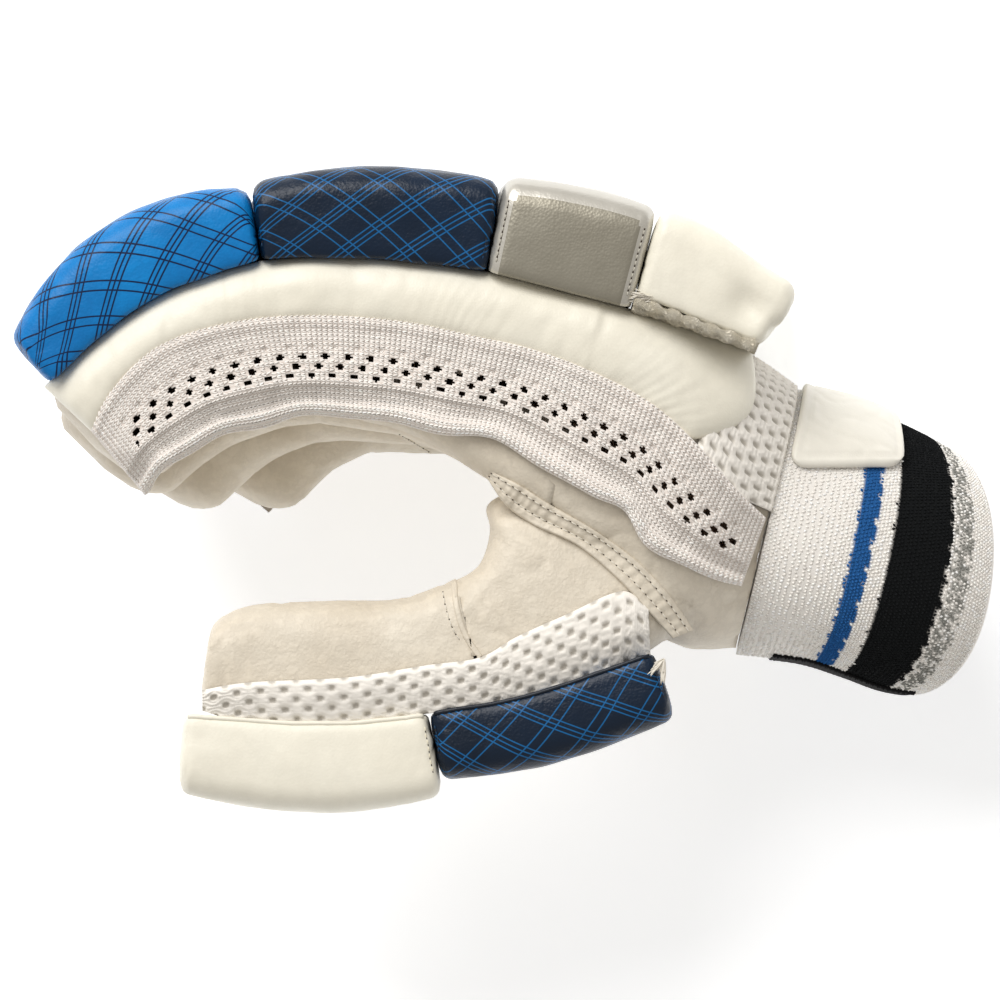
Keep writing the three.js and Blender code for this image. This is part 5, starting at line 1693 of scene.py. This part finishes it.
def makeThumbMesh():
    stations, columns = 330, 34
    row = blendRows(thumbMeshRows, np.linspace(0, 1, stations))
    across = np.linspace(0, 1, columns)
    high, low = plane(row[:, 0], row[:, 1]), plane(row[:, 2], row[:, 3])
    low = low + unit(low - high) * meshLook["under"]
    flat = between(high, low, across)
    place = layOn(flat, True, 0.0)
    up = np.zeros_like(place)
    up[..., 2] = 1.0
    run = walkedAlong(flat[:, columns // 2])
    wide = np.linalg.norm(flat[:, -1] - flat[:, 0], axis=-1)
    walked = np.repeat(run[:, None], columns, axis=1)
    sideways = across[None] * wide[:, None]
    meshSheet("thumb mesh strip", place, up, walked, sideways, ["thumb_mesh"])


makeBackMesh()
makeThumbMesh()
print("air mesh done")


# Raised seam band across the palm and its stitches

def dropPoints(flat):
    # Side-view points set down on the near side's leather, with its directions there
    places, ups, found = [], [], []
    for x, y in flat:
        hit = castOn(x, y, True)
        places.append(tuple(hit[0]) if hit[0] is not None else (x, y, handRoof - 8))
        up = hit[1] if hit[1] is not None else Vector((0, 0, 1))
        ups.append(tuple(up if up.z > 0 else -up))
        found.append(hit[0] is not None)
    return np.array(places), np.array(ups), np.array(found)


def stitchRow(name, places, ups, spacing, size, colour, slot, dark=(0.05, 0.035, 0.025)):
    # Thread stitches along a line, with a needle hole at each end of a stitch, drawn as a small dark bead: painted
    # shade in the hole
    walked = walkedAlong(places)
    count = max(int(walked[-1] / spacing), 2)
    centre = (np.arange(count) + 0.5) / count * walked[-1]
    read = lambda values, at: np.stack([np.interp(at, walked, values[:, k]) for k in range(3)], -1)
    spot, up = read(places, centre), read(ups, centre)
    forward = read(places, centre + 0.3) - read(places, centre - 0.3)
    n = len(spot)
    first, threadFaces, _ = beads(spot + up * 0.12 * size, up, forward, np.full(n, spacing * 0.74),
                                 np.full(n, 0.42 * size), np.full(n, 0.42 * size))
    holes = read(places, centre - spacing / 2)
    upHole = read(ups, centre - spacing / 2)
    second, holeFaces, _ = beads(holes + upHole * 0.04, upHole, forward, np.full(n, 0.5 * size),
                                  np.full(n, 0.42 * size), np.full(n, 0.3 * size))
    tint = np.concatenate([np.repeat(np.array([colour]), len(first), axis=0),
                           np.repeat(np.array([dark]), len(second), axis=0)])
    faces = np.concatenate([threadFaces, holeFaces + len(first)])
    piece = addMesh(name, np.concatenate([first, second]), faces, thread, tint=tint)
    return settle(piece, [], slot)


threadWhite = (0.78, 0.74, 0.66)


def makePalmSeam():
    stations, columns = 150, 24
    rows = [(0.489, 0.532, 0.484, 0.521)] + palmSeamRows
    row = blendRows(rows, np.linspace(0, 1, stations))
    high, low = plane(row[:, 0], row[:, 1]), plane(row[:, 2], row[:, 3])
    across = np.linspace(0, 1, columns)
    flat = between(high, low, across)
    place = layOn(flat, True, 0.1)
    profile = np.interp(across, (0, 0.06, 0.2, 0.26, 0.5, 0.66, 0.74, 0.95, 1),
                        (0.1, 0.75, 0.95, 0.7, 1.1, 0.8, 1.45, 1.5, 0.5))
    pucker = 0.14 * np.sin(np.linspace(0, 1, stations)[:, None] * 150) * np.sin(np.pi * across[None])
    outer = place.copy()
    growing = np.clip(np.linspace(0, 7, stations), 0.15, 1)[:, None]
    outer[..., 2] += (profile[None] + pucker + 0.12 * shapeNoise(place, 5.0, 2.0)) * growing
    points, faces = closedSheet(place, outer)
    piece = fixNormals(addMesh("palm seam band", points, faces, palmSkin))
    settle(piece, ["palm_seam"], "palm_leather")
    up = np.repeat(np.array([[0, 0, 1.0]]), stations, axis=0)
    for share, number in ((0.23, "upper"), (0.64, "lower")):
        line = outer[:, int(share * columns)]
        stitchRow(f"palm seam {number} stitches", line + up * 0.05, up, 2.1, 1.0, threadWhite, "palm_leather")


makePalmSeam()


def stitchLine(name, shares, spacing=2.2):
    # Stitches along a side-view line, only where there is leather under them
    flat = Line(plane(*np.array(shares).T))
    points, _, _ = flat.at(np.linspace(0, flat.length, 120))
    places, ups, found = dropPoints(points)
    return stitchRow(name, places[found], ups[found], spacing, 1.0, threadWhite, "palm_leather")


stitchLine("palm edge stitches", [(0.393, 0.591), (0.425, 0.562), (0.455, 0.527), (0.478, 0.490)])
stitchLine("thumb seam stitches", [(0.438, 0.345), (0.441, 0.320), (0.449, 0.285), (0.456, 0.269)], spacing=1.9)


def ridge(name, shares, width, height, skin, slot):
    # A low folded edge of leather along a side-view line
    flat = Line(plane(*np.array(shares).T))
    points, normal, _ = flat.at(np.linspace(0, flat.length, 90))
    across = np.linspace(-1, 1, 13)
    grid = points[:, None] + normal[:, None] * (across[None, :, None] * width / 2)
    low, _, _ = dropPoints(grid.reshape(-1, 2))
    low = low.reshape(90, 13, 3)
    high = low.copy()
    high[..., 2] += height * np.sqrt(np.maximum(1 - np.abs(across) ** 2.5, 0)) + 0.06
    low[..., 2] -= 0.3
    made = fixNormals(addMesh(name, *closedSheet(low, high), skin))
    return settle(made, [], slot)


ridge("thumb seam fold", [(0.4495, 0.362), (0.4515, 0.328), (0.460, 0.282), (0.476, 0.243)], 1.5, 0.55, palmSkin,
      "palm_leather")
print("seams done")


# Raw welts under the knuckle blocks, with a rough twisted edge along the outer fingers

weltLook = {"from": 1.048, "to": 1.268, "turns": 3.2, "wide": 3.3, "thick": 1.9, "rough": 0.16}


def makeWelt(name):
    look = weltLook
    seat = seats[name]
    zLow, zHigh = rollDepth(name)
    shares = np.linspace(look["from"], look["to"], 70)
    block = rollSpecs["knuckle_block"]
    under = (shares - block["from"]) / (block["to"] - block["from"])
    top = (block["base"][0] + (block["base"][1] - block["base"][0]) * under) * glove["rollHeight"]
    point, normal, tangent = seat.at(seatDistance(seat, shares))
    rings = []
    for k in range(len(shares)):
        ring = boxRing(-0.2, top[k] + 0.3, zLow + 2.5, zHigh - 2.5, 1.0, 3, 8)
        rings.append(standing(point[k], normal[k], ring))
    slab = np.array(rings)
    slab = slab + ringNormals(slab) * (0.5 * shapeNoise(slab, 2.4, 1.0))[..., None]
    pieces = [solidLoft(f"{name} raw welt", slab)]
    if name in ("index", "little"):
        near = name == "index"
        z = zHigh - 0.2 if near else zLow + 1.4
        angle = np.linspace(0, 2 * np.pi, 18, endpoint=False)
        rope = []
        for k, share in enumerate(np.linspace(0, 1, len(shares))):
            knob = 1 + 0.25 * math.exp(-((1 - share) / 0.07) ** 2) - 0.75 * max(0, (share - 0.985) / 0.015)
            knob *= 0.45 + 0.55 * min(1, share / 0.05)
            twist = look["turns"] * 2 * np.pi * share
            x, y = look["wide"] / 2 * knob * np.cos(angle), look["thick"] / 2 * knob * np.sin(angle)
            out = x * math.cos(twist) - y * math.sin(twist)
            side = x * math.sin(twist) + y * math.cos(twist)
            middle = point[k] + normal[k] * (top[k] * 0.5 + 0.3)
            x, y = middle[0] + normal[k, 0] * out, middle[1] + normal[k, 1] * out
            rope.append(np.stack([x, y, z + side * 0.8], -1))
        rope = np.array(rope)
        rough = look["rough"] * shapeNoise(rope, 1.5, 4.0) + 0.08 * shapeNoise(rope, 0.7, 9.0)
        rope = rope + ringNormals(rope) * rough[..., None]
        rope[..., 2] = np.maximum(rope[..., 2], 0.0)
        pieces.append(solidLoft("twisted edge", rope))
    piece = joined(pieces)
    piece.data.materials.append(rawSkin)
    settle(piece, [f"{name}_welt"], "raw_leather")


for name in fingers:
    makeWelt(name)


def wisp(name, start, reach, count, size, spread, slot, seed):
    # A tuft of loose thread ends
    local = np.random.default_rng(seed)
    points, faces, total = [], [], 0
    angle = np.linspace(0, 2 * np.pi, 5, endpoint=False)
    for _ in range(count):
        begin = np.array(start) + local.standard_normal(3) * spread * 0.35
        way = np.array(reach) * local.uniform(0.6, 1.1) + local.standard_normal(3) * spread
        sag = local.standard_normal(3) * spread * 0.5
        line = [begin + way * t + sag * math.sin(math.pi * t) for t in np.linspace(0, 1, 9)]
        first = total
        for k, spot in enumerate(line):
            onward = line[min(k + 1, 8)] - line[max(k - 1, 0)]
            onward /= np.linalg.norm(onward)
            one = np.cross(onward, (0.2, 0.3, 0.93))
            one /= np.linalg.norm(one)
            two = np.cross(onward, one)
            radius = size / 2 * (0.3 if k in (0, 8) else 1)
            points += [spot + radius * (one * math.cos(q) + two * math.sin(q)) for q in angle]
            total += 5
        faces += (gridFaces(9, 5, closed=True) + first).tolist()
        faces += [[first + k for k in range(5)][::-1], [first + 40 + k for k in range(5)]]
    points = np.array(points)
    tint = np.repeat(np.array([threadWhite]), len(points), axis=0)
    return settle(fixNormals(addMesh(name, points, faces, thread, tint=tint)), [], slot)


def sidePoint(along, rise, z):
    return (*plane(along, rise), z)


wisp("knuckle frayed threads", sidePoint(0.652, 0.803, 102.2), (-5.2, 0.6, -0.6), 46, 0.22, 0.85, "raw_leather", 3)
tuftRoot = sidePoint(0.666, 0.240, thumbRoof + 0.4)
wisp("thumb thread tuft", tuftRoot, (-3.2, -3.2, 0.6), 22, 0.34, 0.35, "palm_leather", 5)
wisp("thumb thread tuft low", tuftRoot, (-0.6, -5.6, 0.6), 22, 0.34, 0.35, "palm_leather", 6)


# Seams and piping of the rolls

def nearColumns():
    # The columns of a roll that lie on its face towards the thumb side, from the back edge down
    steps, flats = rollLook["cornerSteps"], rollLook["flatSteps"]
    return np.arange(steps - 1, steps + flats + 1)


def rollSeam(name, key, at, spacing, size, colour, slot, columns=None):
    grid, _ = rollGrids[key]
    columns = nearColumns() if columns is None else columns
    row = int(at * (grid.shape[0] - 1))
    line = grid[row, columns]
    up = ringNormals(grid)[row, columns]
    return stitchRow(name, line, up, spacing, size, colour, slot)


silverThread = (0.52, 0.50, 0.44)
for at, word in ((0.085, "first"), (0.925, "last")):
    rollSeam(f"index base roll {word} seam", ("index", "base_roll"), at, 1.5, 1.25, silverThread, "silver_leather")
for at, word in ((0.035, "first"), (0.965, "last")):
    rollSeam(f"index middle roll {word} seam", ("index", "middle_roll"), at, 1.3, 0.9, (0.03, 0.07, 0.14),
             "navy_leather", nearColumns()[6:])
    rollSeam(f"thumb base roll {word} seam", "thumb_base_roll", at, 1.3, 0.9, (0.03, 0.07, 0.14), "navy_leather")
rollSeam("thumb tip roll seam", "thumb_tip_roll", 0.965, 1.5, 0.9, (0.80, 0.75, 0.60), "cream_leather")


def piping(name, key, radius, skin, slot):
    # A thin rolled edge where a roll meets the leather below it
    grid, _ = rollGrids[key]
    column = nearColumns()[-1] + 2
    line, up = grid[2:-2, column], ringNormals(grid)[2:-2, column]
    angle = np.linspace(0, 2 * np.pi, 10, endpoint=False)
    onward = unit(np.gradient(line, axis=0))
    side = np.cross(onward, up)
    wave = radius * (1 + 0.12 * shapeNoise(line, 3.0, 2.0))
    rings = line[:, None] + wave[:, None, None] * (up[:, None] * np.cos(angle)[None, :, None]
                                                   + side[:, None] * np.sin(angle)[None, :, None])
    piece = solidLoft(name, rings)
    piece.data.polygons.foreach_set("use_smooth", [True] * len(piece.data.polygons))
    piece.data.materials.append(skin)
    return settle(piece, [], slot)


darkSkin = leather("darkPiping", (0.004, 0.010, 0.022), (0.003, 0.007, 0.015),
                   {"pore": 1800.0, "crease": 200.0, "amount": 0.2, "rough": 0.4, "depth": 0.0001})
piping("thumb base roll piping", "thumb_base_roll", 0.55, darkSkin, "navy_leather")
piping("thumb tip roll piping", "thumb_tip_roll", 0.6, creamSkin, "cream_leather")
print("edges done")


# Floor, light and camera

# The floor shines a little itself, so that its shadows stay pale
floorLook = {"size": 3000.0, "colour": (0.96, 0.975, 1.0, 1), "rough": 0.9, "shine": 0.45}
paleFloor, _, floorFinish = newMaterial("paleFloor")
setSockets(floorFinish, Base_Color=floorLook["colour"], Roughness=floorLook["rough"], Specular_IOR_Level=0.1,
           Emission_Color=floorLook["colour"], Emission_Strength=floorLook["shine"])
half = floorLook["size"] / 2
floor = addMesh("floor", [(-half, -half, -0.3), (half, -half, -0.3), (half, half, -0.3), (-half, half, -0.3)],
                [(0, 1, 2, 3)], paleFloor, smooth=False)


# One large soft light from above the backs of the fingers, and a pale room all round
keyLook = {"place": (-1.2, 2.5, 2.6), "aim": (0, 0, 0.05), "size": 2.6, "power": 127.0, "colour": (1.0, 0.985, 0.965)}
lamp = bpy.data.lights.new("key light", "AREA")
lamp.shape = "DISK"
lamp.size, lamp.energy, lamp.color = keyLook["size"], keyLook["power"], keyLook["colour"]
keyLight = bpy.data.objects.new("key light", lamp)
keyLight.location = keyLook["place"]
aim = Vector(keyLook["aim"]) - Vector(keyLook["place"])
keyLight.rotation_euler = aim.to_track_quat("-Z", "Y").to_euler()
bpy.context.collection.objects.link(keyLight)

world = bpy.data.worlds.new("studio")
bpy.context.scene.world = world
world.use_nodes = True
setSockets(world.node_tree.nodes["Background"], Color=(1, 0.96, 0.90, 1), Strength=0.5)
bpy.context.scene.view_settings.view_transform = "Standard"
bpy.context.scene.view_settings.exposure = 0.0

# The camera stands straight above the glove, far off with a long lens, as the photo shows hardly any depth
view = {"centre": (-0.54, -2.43), "width": 249.5, "level": 95.0, "distance": 6.0, "sensor": 36.0}
camera = bpy.data.cameras.new("camera")
camera.sensor_width = view["sensor"]
camera.lens = view["sensor"] * view["distance"] / (view["width"] * mm)
camera.clip_end = 20.0
cameraPiece = bpy.data.objects.new("camera", camera)
cameraPiece.location = (view["centre"][0] * mm, view["centre"][1] * mm, view["level"] * mm + view["distance"])
bpy.context.collection.objects.link(cameraPiece)
bpy.context.scene.camera = cameraPiece
print("light and camera done")

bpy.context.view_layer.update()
triangles = [sum(len(face.vertices) - 2 for face in piece.data.polygons)
             for piece in bpy.data.objects if piece.type == "MESH"]
print("triangles in all", sum(triangles), "largest", max(triangles))
